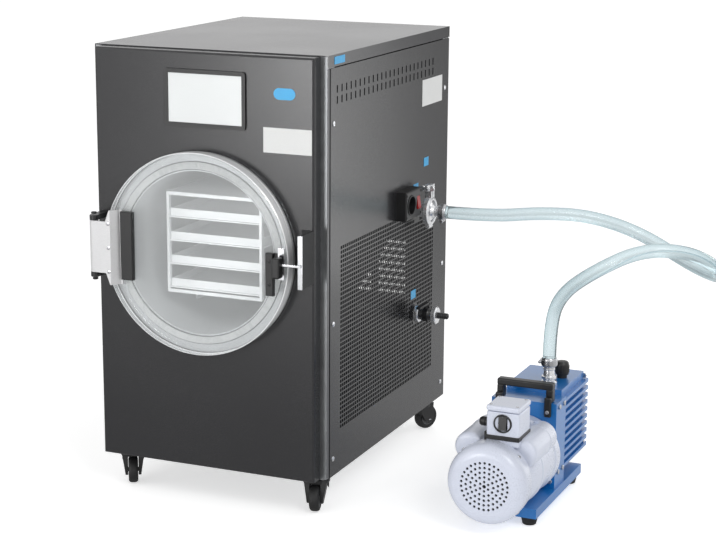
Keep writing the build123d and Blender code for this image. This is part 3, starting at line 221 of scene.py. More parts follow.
# near-white edge of the clear door: painted highlight, with a coat that adds real gloss
EDGE_HIGHLIGHT_WHITE = finish("acrylic edge painted white for its highlight", (246, 247, 248), 0.3, metal=0.06, grain=900, spread=0.03,
                 depth=0.00005, coat=1.0, coat_rough=0.08)
BRIGHT = finish("bright fittings", (228, 229, 231), 0.24, metal=0.8, grain=300, spread=0.06, bump=0.08,
                depth=0.00005)
# grey of the caster hubs, also used as the painted highlight of the corner strip
GREY_HUB_AND_SHEEN = finish("grey hub and painted corner sheen", (96, 97, 99), 0.4, grain=900, bump=0.2, depth=0.0001)
# dark beads along the gasket's edges: painted shadow gaps
SEAL_SHADOW_DARK = finish("painted shadow gap", (30, 31, 33), 0.5, grain=800, spread=0.2, bump=0.3, depth=0.0001)
RED = finish("red rocker", (150, 22, 22), 0.28, grain=900)
WHITE_LABEL = finish("white label", (213, 214, 213), 0.45, grain=500, spread=0.03, depth=0.00004)
BLUE_LABEL = finish("blue label", (16, 156, 212), 0.35, grain=500, spread=0.08, depth=0.00004)
COPPER = finish("copper tube", (190, 110, 74), 0.3, metal=1.0, grain=120, spread=0.22)
FOAM = finish("foam", (40, 40, 42), 0.85, grain=500, spread=0.3, bump=0.8, depth=0.0008)
FINS = finish("aluminium fins", (178, 180, 183), 0.4, metal=1.0, grain=300, spread=0.12)
BLUE = finish("blue casting", (4, 107, 180), 0.34, grain=420, bump=0.35, coat=0.6, coat_rough=0.16)
WHITE = finish("white enamel", (208, 213, 227), 0.30, grain=420, spread=0.03, bump=0.18, coat=0.3, coat_rough=0.2)
HOLE = finish("dark inside", (14, 14, 15), 0.7, grain=600, spread=0.3, bump=0.3)
SCREEN = finish("screen", (224, 227, 227), 0.16, grain=900, spread=0.015, bump=0.02, coat=1.0, coat_rough=0.03,
                rough_spread=0.03, smudge=5)
ACRYLIC = clear("clear acrylic", (240, 243, 244), 0.015, 1.49, 0.86, 0.03, 40)
HOSE = clear("clear hose", (226, 240, 244), 0.10, 1.36, 0.86, 0.08, 90, edge=(70, 128, 140))


def dress(mat, *names):
    """Gives CAD nodes one material."""
    for name in names:
        slots = nodes[name].data.materials
        slots.clear()
        slots.append(mat)


dress(PAINT, "front_panel", "right_panel", "left_panel", "back_panel")
dress(LID, "top_cover")
dress(ZINC, "welded_frame", "caster_plates", "fan_shroud")
dress(DRUM, "vacuum_chamber")
dress(TRAY, "tray_1", "tray_2", "tray_3", "tray_4", "shelf_rack")
dress(BRUSHED, "hinge_plate", "port_clamp", "clamp_wing_nut", "hose_adapter")
dress(CHROME, "strike_strip", "pump_inlet", "drain_valve", "panel_screws")
dress(SATIN_BLACK, "hinge_bracket", "control_box", "compressor")
dress(RUBBER, "latch_bracket", "pump_feet")
dress(BLACK, "hinge_pad", "latch_bar", "latch_knob", "screen_bezel", "power_outlet", "fan_blades")
dress(BLACK, "drain_handle", "pump_handle", "exhaust_cap", "motor_rotor", "pump_switch")
dress(SEAL, "door_gasket")
dress(RED, "power_switch")
dress(WHITE_LABEL, "white_labels")
dress(BLUE_LABEL, "blue_labels")
dress(COPPER, "cold_coil")
dress(FOAM, "chamber_insulation")
dress(FINS, "condenser")
dress(BLUE, "pump_casing")
dress(WHITE, "motor_shell", "motor_fan_cover", "junction_box")
dress(ACRYLIC, "door_disc")
dress(SCREEN, "screen_glass")
for corner in ("front_right", "front_left", "back_right", "back_left"):
    dress(SATIN_BLACK, f"caster_fork_{corner}")
    dress(RUBBER, f"caster_wheel_{corner}")


def round_edges(obj, width, segments=2, angle=50):
    """A bevel, its width in millimetres, on edges sharper than an angle."""
    edges = obj.modifiers.new("edges", "BEVEL")
    edges.width = width / 1000
    edges.segments = segments
    edges.limit_method = "ANGLE"
    edges.angle_limit = math.radians(angle)
    return edges


# CAD solids that stay as they are get lightly rounded edges
for width, names in (
    (1.0, ("top_cover", "front_panel", "hinge_plate", "hinge_bracket", "latch_bracket", "strike_strip")),
    (0.8, ("hinge_pad", "latch_bar", "power_outlet", "shelf_rack", "drain_handle", "screen_bezel")),
    (0.4, ("tray_1", "tray_2", "tray_3", "tray_4", "power_switch", "pump_switch")),
    (1.6, ("pump_casing",)),
):
    for name in names:
        round_edges(nodes[name], width)


# ------------------------------------------------------------------ mesh tools (millimetres, cabinet coordinates)
def add_box(bm, low, high):
    """A box between two corners."""
    verts = []
    for x in (low[0], high[0]):
        for y in (low[1], high[1]):
            for z in (low[2], high[2]):
                verts.append(bm.verts.new((x, y, z)))
    for face in ((0, 1, 3, 2), (4, 6, 7, 5), (0, 4, 5, 1), (2, 3, 7, 6), (0, 2, 6, 4), (1, 5, 7, 3)):
        bm.faces.new([verts[i] for i in face])


def across(axis):
    """The axis as a unit vector, and two directions square to it."""
    axis = Vector(axis).normalized()
    helper = Vector((0, 0, 1)) if abs(axis.z) < 0.9 else Vector((1, 0, 0))
    side = axis.cross(helper).normalized()
    return axis, side, axis.cross(side).normalized()


def add_turned(bm, origin, axis, profile, steps=48, start=0.0):
    """Revolves a profile of (distance along the axis, radius) about the axis through the origin."""
    axis, side, up = across(axis)
    origin = Vector(origin)
    rings = []
    for along, radius in profile:
        centre = origin + axis * along
        if radius <= 1e-6:
            rings.append([bm.verts.new(centre)])
            continue
        ring = []
        for step in range(steps):
            angle = start + 2 * math.pi * step / steps
            ring.append(bm.verts.new(centre + (side * math.cos(angle) + up * math.sin(angle)) * radius))
        rings.append(ring)
    for low, high in zip(rings, rings[1:]):
        for step in range(steps):
            after = (step + 1) % steps
            if len(low) == 1 and len(high) == 1:
                continue
            if len(low) == 1:
                bm.faces.new((low[0], high[after], high[step]))
            elif len(high) == 1:
                bm.faces.new((low[step], low[after], high[0]))
            else:
                bm.faces.new((low[step], low[after], high[after], high[step]))


def add_skin(bm, outlines):
    """Closed solid through a row of outlines with equal numbers of points."""
    rings = [[bm.verts.new(point) for point in outline] for outline in outlines]
    for low, high in zip(rings, rings[1:]):
        for i in range(len(low)):
            j = (i + 1) % len(low)
            bm.faces.new((low[i], low[j], high[j], high[i]))
    bm.faces.new(rings[0])
    bm.faces.new(rings[-1])


def add_rod(bm, start, end, radius, steps=24, chamfer=0.6):
    """A rod with lightly broken edges between two points."""
    start, end = Vector(start), Vector(end)
    length = (end - start).length
    chamfer = min(chamfer, length / 3, radius / 2)
    profile = [(0, 0), (0, radius - chamfer), (chamfer, radius), (length - chamfer, radius)]
    profile += [(length, radius - chamfer), (length, 0)]
    add_turned(bm, start, end - start, profile, steps)


def add_nut(bm, origin, axis, flat_radius, height):
    """A six-sided nut with its corners turned down."""
    corner = flat_radius / math.cos(math.pi / 6)
    profile = [(0, 0), (0, flat_radius * 0.95), (height * 0.18, corner), (height * 0.82, corner)]
    profile += [(height, flat_radius * 0.95), (height, 0)]
    add_turned(bm, origin, axis, profile, 6)


def add_screw(bm, origin, axis, radius, height=2.0):
    """A domed screw head with a round recess."""
    profile = [(0, radius), (height * 0.35, radius), (height * 0.75, radius * 0.86), (height, radius * 0.5)]
    profile += [(height, radius * 0.34), (height * 0.3, radius * 0.26), (height * 0.3, 0)]
    add_turned(bm, origin, axis, profile, 20)


def make(name, bm, mat, body, smooth=32, bevel=0.0, segments=2):
    """Turns a millimetre mesh into a piece on a body."""
    bmesh.ops.remove_doubles(bm, verts=bm.verts, dist=0.001)
    bmesh.ops.recalc_face_normals(bm, faces=bm.faces)
    for vert in bm.verts:
        vert.co = spot(*vert.co)
    mesh = bpy.data.meshes.new(name)
    bm.to_mesh(mesh)
    bm.free()
    mesh.materials.append(mat)
    mesh.shade_smooth()
    mesh.set_sharp_from_angle(angle=math.radians(smooth))
    obj = bpy.data.objects.new(name, mesh)
    bpy.context.collection.objects.link(obj)
    if bevel:
        round_edges(obj, bevel, segments, 40).harden_normals = True
    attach(obj, body)
    return obj


def carve(obj, cutter):
    """Cuts one mesh object by another and keeps the result as plain mesh."""
    mod = obj.modifiers.new("cut", "BOOLEAN")
    mod.object = cutter
    mod.solver = "EXACT"
    bpy.context.view_layer.update()
    mesh = bpy.data.meshes.new_from_object(obj.evaluated_get(bpy.context.evaluated_depsgraph_get()))
    obj.modifiers.clear()
    obj.data = mesh
    bpy.data.objects.remove(cutter)
    mesh.shade_smooth()
    mesh.set_sharp_from_angle(angle=math.radians(32))


# ------------------------------------------------------------------ side panels
SHEET = 1.6                                   # thickness of a side panel
SIDE_Y = (37.0, 613.0)
SIDE_Z = (70.0, 806.0)
MESH_Y = (80.5, 539.5)
MESH_Z = (150.0, 489.0)
MESH_COLUMNS, MESH_ROWS, MESH_WEB = 54, 40, 2.6
SLOT_ROWS = (749.5, 768.5)
SLOT_COLUMNS, SLOT_PITCH, SLOT_MIDDLE = 24, 20, 295
SLOT_HALF_WIDE, SLOT_HALF_HIGH = 2.5, 6.5
SHEET_SPLIT = 734.5                           # between the mesh's grid and the slots' grid


def add_sheet(bm, x, ys, zs, solid, depth):
    """Sheet on a grid of lines, open in the cells where solid says no."""
    made = {}

    def corner(i, k, side):
        if (i, k, side) not in made:
            made[i, k, side] = bm.verts.new((x + side * depth, ys[i], zs[k]))
        return made[i, k, side]

    def here(i, k):
        return 0 <= i < len(ys) - 1 and 0 <= k < len(zs) - 1 and solid(i, k)

    for i in range(len(ys) - 1):
        for k in range(len(zs) - 1):
            if not here(i, k):
                continue
            for side in (0, 1):
                bm.faces.new([corner(i, k, side), corner(i + 1, k, side), corner(i + 1, k + 1, side),
                              corner(i, k + 1, side)])
            for di, dk, a, b in ((-1, 0, (i, k), (i, k + 1)), (1, 0, (i + 1, k), (i + 1, k + 1)),
                                 (0, -1, (i, k), (i + 1, k)), (0, 1, (i, k + 1), (i + 1, k + 1))):
                if not here(i + di, k + dk):
                    bm.faces.new([corner(*a, 0), corner(*b, 0), corner(*b, 1), corner(*a, 1)])


def mesh_lines(span, count):
    """Edges of the webs of a mesh, from the first hole's near side to the last hole's far side."""
    pitch = (span[1] - span[0]) / count
    lines = []
    for i in range(count):
        lines += [span[0] + i * pitch + MESH_WEB / 2, span[0] + (i + 1) * pitch - MESH_WEB / 2]
    return lines


def side_panel(name, outer_x, inward, plain):
    """Cabinet side with vent slots and a fine square mesh; plain spots keep their metal."""
    bm = bmesh.new()
    ys = [SIDE_Y[0], *mesh_lines(MESH_Y, MESH_COLUMNS), SIDE_Y[1]]
    zs = [SIDE_Z[0], *mesh_lines(MESH_Z, MESH_ROWS), SHEET_SPLIT]

    def on_web(i, k):
        return i % 2 == 0 or k % 2 == 0

    def metal(i, k):
        y, z = (ys[i] + ys[i + 1]) / 2, (zs[k] + zs[k + 1]) / 2
        return on_web(i, k) or any(math.hypot(y - py, z - pz) < r for py, pz, r in plain)

    add_sheet(bm, outer_x, ys, zs, metal, inward * SHEET)
    slot_ys, slot_zs = [SIDE_Y[0]], [SHEET_SPLIT]
    for column in range(SLOT_COLUMNS):
        middle = SLOT_MIDDLE + (column - (SLOT_COLUMNS - 1) / 2) * SLOT_PITCH
        slot_ys += [middle - SLOT_HALF_WIDE, middle + SLOT_HALF_WIDE]
    for row in SLOT_ROWS:
        slot_zs += [row - SLOT_HALF_HIGH, row + SLOT_HALF_HIGH]
    slot_ys.append(SIDE_Y[1])
    slot_zs.append(SIDE_Z[1])
    add_sheet(bm, outer_x, slot_ys, slot_zs, on_web, inward * SHEET)
    return make(name, bm, PAINT, "cabinet", smooth=20)


port_spots = ((PORT_Y, PORT_Z, 25), (VALVE_Y, VALVE_Z, 20))
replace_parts(side_panel("side_sheet_right", HALF, -1, port_spots), "right_panel")
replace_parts(side_panel("side_sheet_left", -HALF, 1, ()), "left_panel")

# screws of the side and back panels
bm = bmesh.new()
for z in (103, 353, 710):
    for y in (50, 592):
        add_screw(bm, (HALF, y, z), (1, 0, 0), 5)
        add_screw(bm, (-HALF, y, z), (-1, 0, 0), 5)
    for x in (20 - HALF, HALF - 20):
        add_screw(bm, (x, BACK_Y, z), (0, 1, 0), 5)
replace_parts(make("sheet_screws", bm, CHROME, "cabinet"), "panel_screws")

# seam strip down the front right corner, grey: a painted highlight on what is charcoal paint, in the hubs' grey
bm = bmesh.new()
add_box(bm, (HALF - 9, 27.6, 71), (HALF - 1.2, 36.2, 806))
make("corner_strip", bm, GREY_HUB_AND_SHEEN, "cabinet", bevel=1.2)


# ------------------------------------------------------------------ chamber mouth and door
AXIS_X, AXIS_Z = -1, 473
AROUND = 144                                  # steps round a large ring
DOOR_FRONT = -34
HINGE_X, HINGE_Z = -198, 475
LATCH_X, LATCH_Z = 169.5, 470


def round_axis(name, profile, mat, body):
    """A ring turned about the chamber's axis; distances run back from the panel's face."""
    bm = bmesh.new()
    add_turned(bm, (AXIS_X, 0, AXIS_Z), (0, 1, 0), profile, AROUND)
    return make(name, bm, mat, body)


def bead(radius, along, thick, sides=8):
    """Closed profile of a thin round bead."""
    turns = [2 * math.pi * i / sides for i in range(sides + 1)]
    return [(along + thick * math.sin(a), radius + thick * math.cos(a)) for a in turns]


round_axis("flange_face", [(-6.8, 148), (-7.2, 148.4), (-7.2, 178.4), (-5.4, 180.2), (-0.5, 180.2), (-0.5, 176),
                           (-6.8, 176), (-6.8, 148)], FLANGE, "cabinet")
# two thin dark beads at the gasket's inner and outer edges: painted shadow gaps
bm = bmesh.new()
for radius in (150.6, 164.4):
    add_turned(bm, (AXIS_X, 0, AXIS_Z), (0, 1, 0), bead(radius, -7.4, 0.9), AROUND)
make("seal_shadow_lines", bm, SEAL_SHADOW_DARK, "cabinet")
# white ring over the door's clear acrylic edge: painted highlight where the edge catches the light
round_axis("door_rim", [(-32.4, 180.1), (-32.9, 180.9), (-31.6, 182.1), (-12.4, 182.1), (-11.1, 180.9),
                        (-11.6, 180.1), (-12.6, 181.65), (-31.4, 181.65), (-32.4, 180.1)], EDGE_HIGHLIGHT_WHITE, "door")

# hinge screws, on the flared part of the leaf
bm = bmesh.new()
for z in (-44, 0, 44):
    add_screw(bm, (HINGE_X + 33, -51, HINGE_Z + z), (0, -1, 0), 3.6, 1.6)
make("hinge_screws", bm, CHROME, "door")
bm = bmesh.new()
pin_head = [(0, 0), (0, 4.6), (0.8, 5.2), (2.7, 5.2), (3.5, 4.2), (3.5, 0)]
for z in (-62, 58.5):
    add_turned(bm, (HINGE_X, -43, HINGE_Z + z), (0, 0, 1), pin_head, 28)
make("hinge_pin_heads", bm, SATIN_BLACK, "cabinet")

# latch: bright plate on the door, then the knob with its ribs and its tongue
bm = bmesh.new()
add_box(bm, (LATCH_X - 6.5, DOOR_FRONT - 3.4, LATCH_Z - 25), (LATCH_X + 6.5, DOOR_FRONT + 0.2, LATCH_Z + 32))
make("latch_plate", bm, CHROME, "door", bevel=0.9)
bm = bmesh.new()
for z in (-33, 8):
    add_screw(bm, (149, DOOR_FRONT - 9, LATCH_Z + z), (0, -1, 0), 3.2, 1.4)
make("latch_bar_screws", bm, SATIN_BLACK, "door")
bm = bmesh.new()
add_box(bm, (LATCH_X - 7.5, -61.5, LATCH_Z - 18), (LATCH_X + 7.5, -43.5, LATCH_Z + 18))
grip = make("latch_grip", bm, BLACK, "latch_knob", bevel=3.2, segments=4)
bm = bmesh.new()
for z in range(-12, 13, 4):
    add_box(bm, (LATCH_X - 7.9, -58, LATCH_Z + z - 0.7), (LATCH_X + 7.9, -47, LATCH_Z + z + 0.7))
make("latch_grip_ribs", bm, BLACK, "latch_knob", bevel=0.5)
bm = bmesh.new()
add_box(bm, (LATCH_X, -53, LATCH_Z + 4), (LATCH_X + 44, -50, LATCH_Z + 8))
add_rod(bm, (LATCH_X, -44, LATCH_Z), (LATCH_X, -33.8, LATCH_Z), 4)
make("latch_tongue", bm, CHROME, "latch_knob", bevel=0.7)
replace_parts(grip, "latch_knob")


# ------------------------------------------------------------------ casters
CASTERS = {"front_right": (191.5, 65, -75), "front_left": (-191.5, 65, -60), "back_right": (191.5, 577, 60),
           "back_left": (-191.5, 577, 75)}   # place of the swivel, and the heading of the trail in degrees
WHEEL_Z, TRAIL = 25, 16
PLATE_Z = 67                                  # underside of the mounting plate
HOOD_TOP = 60.9
TYRE = [(-8.4, 16), (-9, 17.5), (-9, 20.5), (-8.2, 22.6), (-6.4, 24.2), (-3.4, 25), (3.4, 25), (6.4, 24.2),
        (8.2, 22.6), (9, 20.5), (9, 17.5), (8.4, 16), (-8.4, 16)]
RIM = [(-7.2, 4.1), (-8.6, 4.6), (-8.6, 6.6), (-6.4, 7.4), (-5.6, 13), (-8.2, 15), (-8.2, 16.1), (8.2, 16.1),
       (8.2, 15), (5.6, 13), (6.4, 7.4), (8.6, 6.6), (8.6, 4.6), (7.2, 4.1), (-7.2, 4.1)]
COLLAR = [(-9.6, 21.2), (-9.6, 23.2), (-7.8, 24.2), (-2.2, 24.2), (-0.4, 23.0), (-0.4, 21.2), (-9.6, 21.2)]
RACE = [(-6, 20.6), (-6, 22.2), (-4.4, 23), (-0.7, 23), (0, 22), (0, 20.6), (-6, 20.6)]
# outline of the hood's cheek about the axle: along the trail, height, and how far it flares out
CHEEK = [(-36, 29, 6.4), (-31, 24, 4.6), (-13, -2, 0.7), (-9.5, -7, 0.4), (-4, -10.2, 0.2), (3, -10.4, 0.2),
         (8.6, -6.5, 0.4), (10.4, 0, 0.7), (7, 16, 3.0), (4.6, 27, 5.6), (3, 34.5, 8.4), (-34, 34.5, 8.4),
         (-37, 32, 7.4)]
# the cheek's layers: distance from the wheel's middle, whether it flares, and how far its outline grows
LAYERS = ((9.8, 0, 0), (10.1, 0, 0.6), (14.0, 1, 0.6), (14.7, 1, 0))
LIP_FROM, LIP_TURN, LIP_STEPS = 118, 124, 24  # degrees round the swivel from the trail


def add_hood(bm, x, y, middle, trail, axle):
    """Tapered cover of a fork: a collar, two flared cheeks, and a lip round the side away from the trail."""
    add_turned(bm, (x, y, HOOD_TOP), (0, 0, 1), COLLAR)
    for side in (-1, 1):
        layers = []
        for out, flared, grow in LAYERS:
            layers.append([
                middle + trail * (along + (grow if along > -TRAIL / 2 else -grow))
                + axle * side * (out + spread * flared) + Vector((0, 0, rise))
                for along, rise, spread in CHEEK
            ])
        add_skin(bm, layers)
    lip = []
    for step in range(LIP_STEPS + 1):
        angle = math.radians(LIP_FROM + LIP_TURN * step / LIP_STEPS)
        low = WHEEL_Z + 10.5 + 9.5 * math.sin(math.pi * step / LIP_STEPS)
        out = trail * math.cos(angle) + axle * math.sin(angle)
        lip.append([
            Vector((x, y, height)) + out * radius
            for radius, height in ((22.0, HOOD_TOP - 8), (24.0, HOOD_TOP - 8), (23.4, low + 1), (22.8, low),
                                   (22.0, low + 1))
        ])
    add_skin(bm, lip)


def caster(corner, x, y, heading):
    """Tyre, hub, axle nuts and fork hood of one caster, and its raceway and bolts on the cabinet."""
    angle = math.radians(heading)
    trail = Vector((math.cos(angle), math.sin(angle), 0))
    axle = Vector((math.sin(angle), -math.cos(angle), 0))
    middle = Vector((x, y, WHEEL_Z)) + trail * TRAIL
    bm = bmesh.new()
    add_turned(bm, middle, axle, TYRE, 56)
    made = make(f"tyre_{corner}", bm, RUBBER, f"wheel_{corner}")
    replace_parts(made, f"caster_wheel_{corner}")
    bm = bmesh.new()
    add_turned(bm, middle, axle, RIM)
    make(f"hub_{corner}", bm, GREY_HUB_AND_SHEEN, f"wheel_{corner}")
    bm = bmesh.new()
    for side in (-1, 1):
        add_nut(bm, middle + axle * side * 12.8, axle * side, 5, 3.2)
    make(f"axle_nuts_{corner}", bm, ZINCED, f"caster_{corner}")
    bm = bmesh.new()
    add_hood(bm, x, y, middle, trail, axle)
    make(f"fork_hood_{corner}", bm, BLACK, f"caster_{corner}")
    bm = bmesh.new()
    add_turned(bm, (x, y, PLATE_Z), (0, 0, 1), RACE)
    make(f"race_{corner}", bm, SATIN_BLACK, "cabinet")
    bm = bmesh.new()
    for dx in (-22, 22):
        for dy in (-22, 22):
            add_nut(bm, (x + dx, y + dy, PLATE_Z), (0, 0, -1), 4.2, 3.4)
    make(f"plate_bolts_{corner}", bm, ZINCED, "cabinet", smooth=20)


for corner, place in CASTERS.items():
    caster(corner, *place)


# ------------------------------------------------------------------ vacuum port, clamp and hose fittings
BOLT_Z = 534                                  # height of the clamp's bolt
OUTLET_X, OUTLET_Y, OUTLET_Z = 251.5, 365, 513
ALONG_X = (1, 0, 0)

bm = bmesh.new()
add_turned(bm, (PORT_END - 7, PORT_Y, PORT_Z), ALONG_X,
           [(0, 20.6), (0, 24.4), (2.6, 28.4), (11.4, 28.4), (14, 24.4), (14, 20.6), (0, 20.6)], 64)
for y in (PORT_Y - 8.5, PORT_Y + 1.5):
    add_box(bm, (PORT_END - 6.6, y, PORT_Z + 26), (PORT_END + 6.6, y + 7, BOLT_Z + 6.8))
add_rod(bm, (PORT_END, PORT_Y - 9, PORT_Z - 30), (PORT_END, PORT_Y + 9, PORT_Z - 30), 4.2)
clamp = make("clamp_ring", bm, BRIGHT, "cabinet", bevel=0.8)
bm = bmesh.new()
add_rod(bm, (PORT_END, PORT_Y - 19.5, BOLT_Z), (PORT_END, PORT_Y + 12, BOLT_Z), 3)
add_nut(bm, (PORT_END, PORT_Y + 8.5, BOLT_Z), (0, 1, 0), 5.4, 4.2)
make("clamp_bolt", bm, ZINCED, "cabinet")
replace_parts(clamp, "port_clamp")

# wing nut: a threaded boss and two round wings
bm = bmesh.new()
add_turned(bm, (PORT_END, PORT_Y - 9, BOLT_Z), (0, -1, 0),
           [(0, 3.1), (0, 6.6), (2, 6.9), (8.6, 5.4), (9.8, 4.6), (9.8, 3.1), (0, 3.1)], 32)
for side in (-1, 1):
    add_turned(bm, (PORT_END + side * 9.6, PORT_Y - 11.4, BOLT_Z), (0, -1, 0),
               [(0, 0), (0, 4.6), (0.8, 5.4), (2.6, 5.4), (3.4, 4.6), (3.4, 0)], 28)
wings = make("wing_nut_body", bm, BRIGHT, "wing_nut", bevel=0.3)
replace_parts(wings, "clamp_wing_nut")


def hose_fitting(name, origin, axis, reach, collar, cad, base):
    """Barbed tube with a crimped collar whose band has a worm screw."""
    axis, side, up = across(axis)
    start = Vector(origin) + axis * (reach - collar)
    bm = bmesh.new()
    neck = [(along + reach - collar, radius)
            for along, radius in ((-7, 9.6), (-6, 11.2), (-4, 11.2), (-3, 9.6), (0, 9.6), (0, 0))]
    add_turned(bm, origin, axis, base + neck)
    body = make(name, bm, BRIGHT, "cabinet", bevel=0.4)
    bm = bmesh.new()
    add_turned(bm, start, axis, [(0, 9), (0, 13.4), (1.4, 14.4), (2.6, 14.4), (3, 15.4), (12, 15.4), (12.4, 14.4),
                                 (14.4, 14.2), (16, 13.2), (16, 9), (0, 9)], 56)
    screw_at = start + axis * 7.5 + up * 16.6
    add_rod(bm, screw_at - side * 8, screw_at + side * 8, 3.2, 20)
    add_nut(bm, screw_at + side * 7.6, side, 4, 3.4)
    make(name + "_band", bm, ZINCED, "cabinet", bevel=0.3)
    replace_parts(body, cad)


hose_fitting("port_adapter", (PORT_END, PORT_Y, PORT_Z), ALONG_X, 36, 16, "hose_adapter",
             [(0, 0), (0, 20), (3.6, 20), (5, 18.4), (6.4, 13), (9, 10.8)])
hose_fitting("pump_intake", (INTAKE_X, INTAKE_Y, CASTING_TOP), (0, 0, 1), 52, 16, "pump_inlet",
             [(0, 0), (0, 15), (6, 15), (8, 13), (9, 10.8), (12, 10.8), (13, 13.6), (17, 13.6), (18, 10.8)])

# drain valve: two eight-sided unions with round collars, a dark body and a ribbed spout
bm = bmesh.new()
for start in (232.5, 268.5):
    add_turned(bm, (start, VALVE_Y, VALVE_Z), ALONG_X,
               [(0, 7), (0, 16.4), (1.2, 17.9), (8.8, 17.9), (10, 16.4), (10, 7), (0, 7)], 8, start=math.pi / 8)
    add_turned(bm, (start - 0.2, VALVE_Y, VALVE_Z), ALONG_X,
               [(0, 6), (0, 14.6), (0.6, 15.2), (9.8, 15.2), (10.4, 14.6), (10.4, 6), (0, 6)], 40)
unions = make("valve_unions", bm, BRIGHT, "cabinet", bevel=0.5)
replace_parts(unions, "drain_valve")
bm = bmesh.new()
add_turned(bm, (242.5, VALVE_Y, VALVE_Z), ALONG_X,
           [(-0.4, 0), (-0.4, 11), (1, 12), (6, 12.6), (8, 14), (18, 14), (20, 12.6), (25, 12), (26.4, 11),
            (26.4, 0)])
add_rod(bm, (255.5, VALVE_Y, VALVE_Z + 11), (255.5, VALVE_Y, VALVE_Z + 19.4), 6.4)
add_turned(bm, (278.5, VALVE_Y, VALVE_Z), ALONG_X,
           [(0, 0), (0, 6), (3, 6.35), (6.5, 5.5), (7, 6.35), (10.5, 5.5), (11, 6.35), (14.5, 5.5), (15, 6.35),
            (18.5, 5.5), (19, 6.35), (22, 5.2), (22, 3.4), (10, 3.2), (10, 0)], 40)
make("valve_body", bm, SATIN_BLACK, "cabinet", bevel=0.3)

# mains outlet: lip round the socket, and the frame's four screws
bm = bmesh.new()
add_turned(bm, (OUTLET_X, OUTLET_Y, OUTLET_Z), ALONG_X,
           [(-1, 17), (1.4, 17.2), (1.9, 18.4), (1.4, 19.8), (-1, 20), (-1, 17)])
for y in (OUTLET_Y - 22, OUTLET_Y + 48):
    for z in (OUTLET_Z - 21.12, OUTLET_Z + 21.12):
        add_screw(bm, (OUTLET_X, y, z), ALONG_X, 2.4, 1)
make("outlet_trim", bm, BLACK, "cabinet", bevel=0.2)


# ------------------------------------------------------------------ vacuum pump
PUMP_X, SHAFT_Z, COVER_Y, MOTOR_Y, CASING_Y, PUMP_BACK = 523, 98, 34, 72, 246, 454
CASING_HALF = 62                              # half of the casting's width
CAP_OFF, CAP_Y, CAP_Z = 48.08, 86, 146.08     # axes of the capacitor covers, either side of the motor's
BOX_X, BOX_FRONT, BOX_TOP, SWITCH_Z = 540, 76, 233, 202
HANDLE_Y = CASING_Y + 10
EXHAUST_X, EXHAUST_Y = 551, 387
BACKWARD, FORWARD, UP = (0, 1, 0), (0, -1, 0), (0, 0, 1)

# fan cover: domed front with rings of fine holes round a centre hole
HOLE_RINGS, RING_PITCH, HOLE_RADIUS = 5, 8.5, 2.5
bm = bmesh.new()
add_turned(bm, (PUMP_X, COVER_Y, SHAFT_Z), BACKWARD,
           [(0, 0), (0, 52), (0.5, 56.5), (1.6, 60.5), (3.6, 64.2), (6.4, 67.6), (9.8, 70.4), (13.4, 72.2), (17, 73),
            (38, 73), (40, 72.6), (44, 72.6), (44, 70.8), (17, 70.8), (13.9, 70), (10.8, 68.4), (8, 66), (5.6, 63),
            (4, 60), (2.9, 56.4), (2.4, 52), (2.4, 0)], 96)
cover = make("fan_cover", bm, WHITE, "cabinet")
bm = bmesh.new()
add_turned(bm, (PUMP_X, COVER_Y, SHAFT_Z), BACKWARD, [(-2, 0), (-2, 3.4), (6, 3.4), (6, 0)], 16)
for ring in range(1, HOLE_RINGS + 1):
    for step in range(6 * ring):
        angle = 2 * math.pi * (step + 0.5 * (ring % 2)) / (6 * ring)
        out = RING_PITCH * ring
        place = (PUMP_X + out * math.cos(angle), COVER_Y, SHAFT_Z + out * math.sin(angle))
        add_turned(bm, place, BACKWARD, [(-2, 0), (-2, HOLE_RADIUS), (6, HOLE_RADIUS), (6, 0)], 10)
cutter = make("cover_cutter", bm, HOLE, "cabinet")
carve(cover, cutter)
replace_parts(cover, "motor_fan_cover")
bm = bmesh.new()
for angle in (45, 135, 225, 315):
    out = Vector((math.cos(math.radians(angle)), 0, math.sin(math.radians(angle))))
    add_screw(bm, Vector((PUMP_X, COVER_Y + 34, SHAFT_Z)) + out * 72.8, out, 3.4, 1.6)
make("cover_screws", bm, ZINCED, "cabinet")

# motor shell with a rolled seam, end bell and two domed capacitor covers
bm = bmesh.new()
add_turned(bm, (PUMP_X, MOTOR_Y, SHAFT_Z), BACKWARD,
           [(0, 8), (0, 69), (2, 70.2), (74, 70.2), (75.5, 71.6), (82, 71.6), (83.5, 70.2), (148, 70.2), (150, 72.4),
            (172, 72.4), (174, 70.6), (174, 8), (0, 8)], 96)
for side in (-1, 1):
    add_turned(bm, (PUMP_X + side * CAP_OFF, CAP_Y, CAP_Z), BACKWARD,
               [(0, 0), (0, 19), (0.8, 22.6), (3, 25.6), (6.4, 27.5), (10, 28), (86, 28), (87, 28.9), (93, 28.9),
                (94, 28), (120, 28), (120, 0)], 56)
shell = make("motor_body", bm, WHITE, "cabinet")
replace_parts(shell, "motor_shell")
bm = bmesh.new()
for side in (-1, 1):
    for dx in (-19, 19):
        add_screw(bm, (PUMP_X + side * CAP_OFF + dx, CAP_Y + 3.6, CAP_Z + 6), FORWARD, 2.8, 1.6)
make("capacitor_screws", bm, ZINCED, "cabinet")

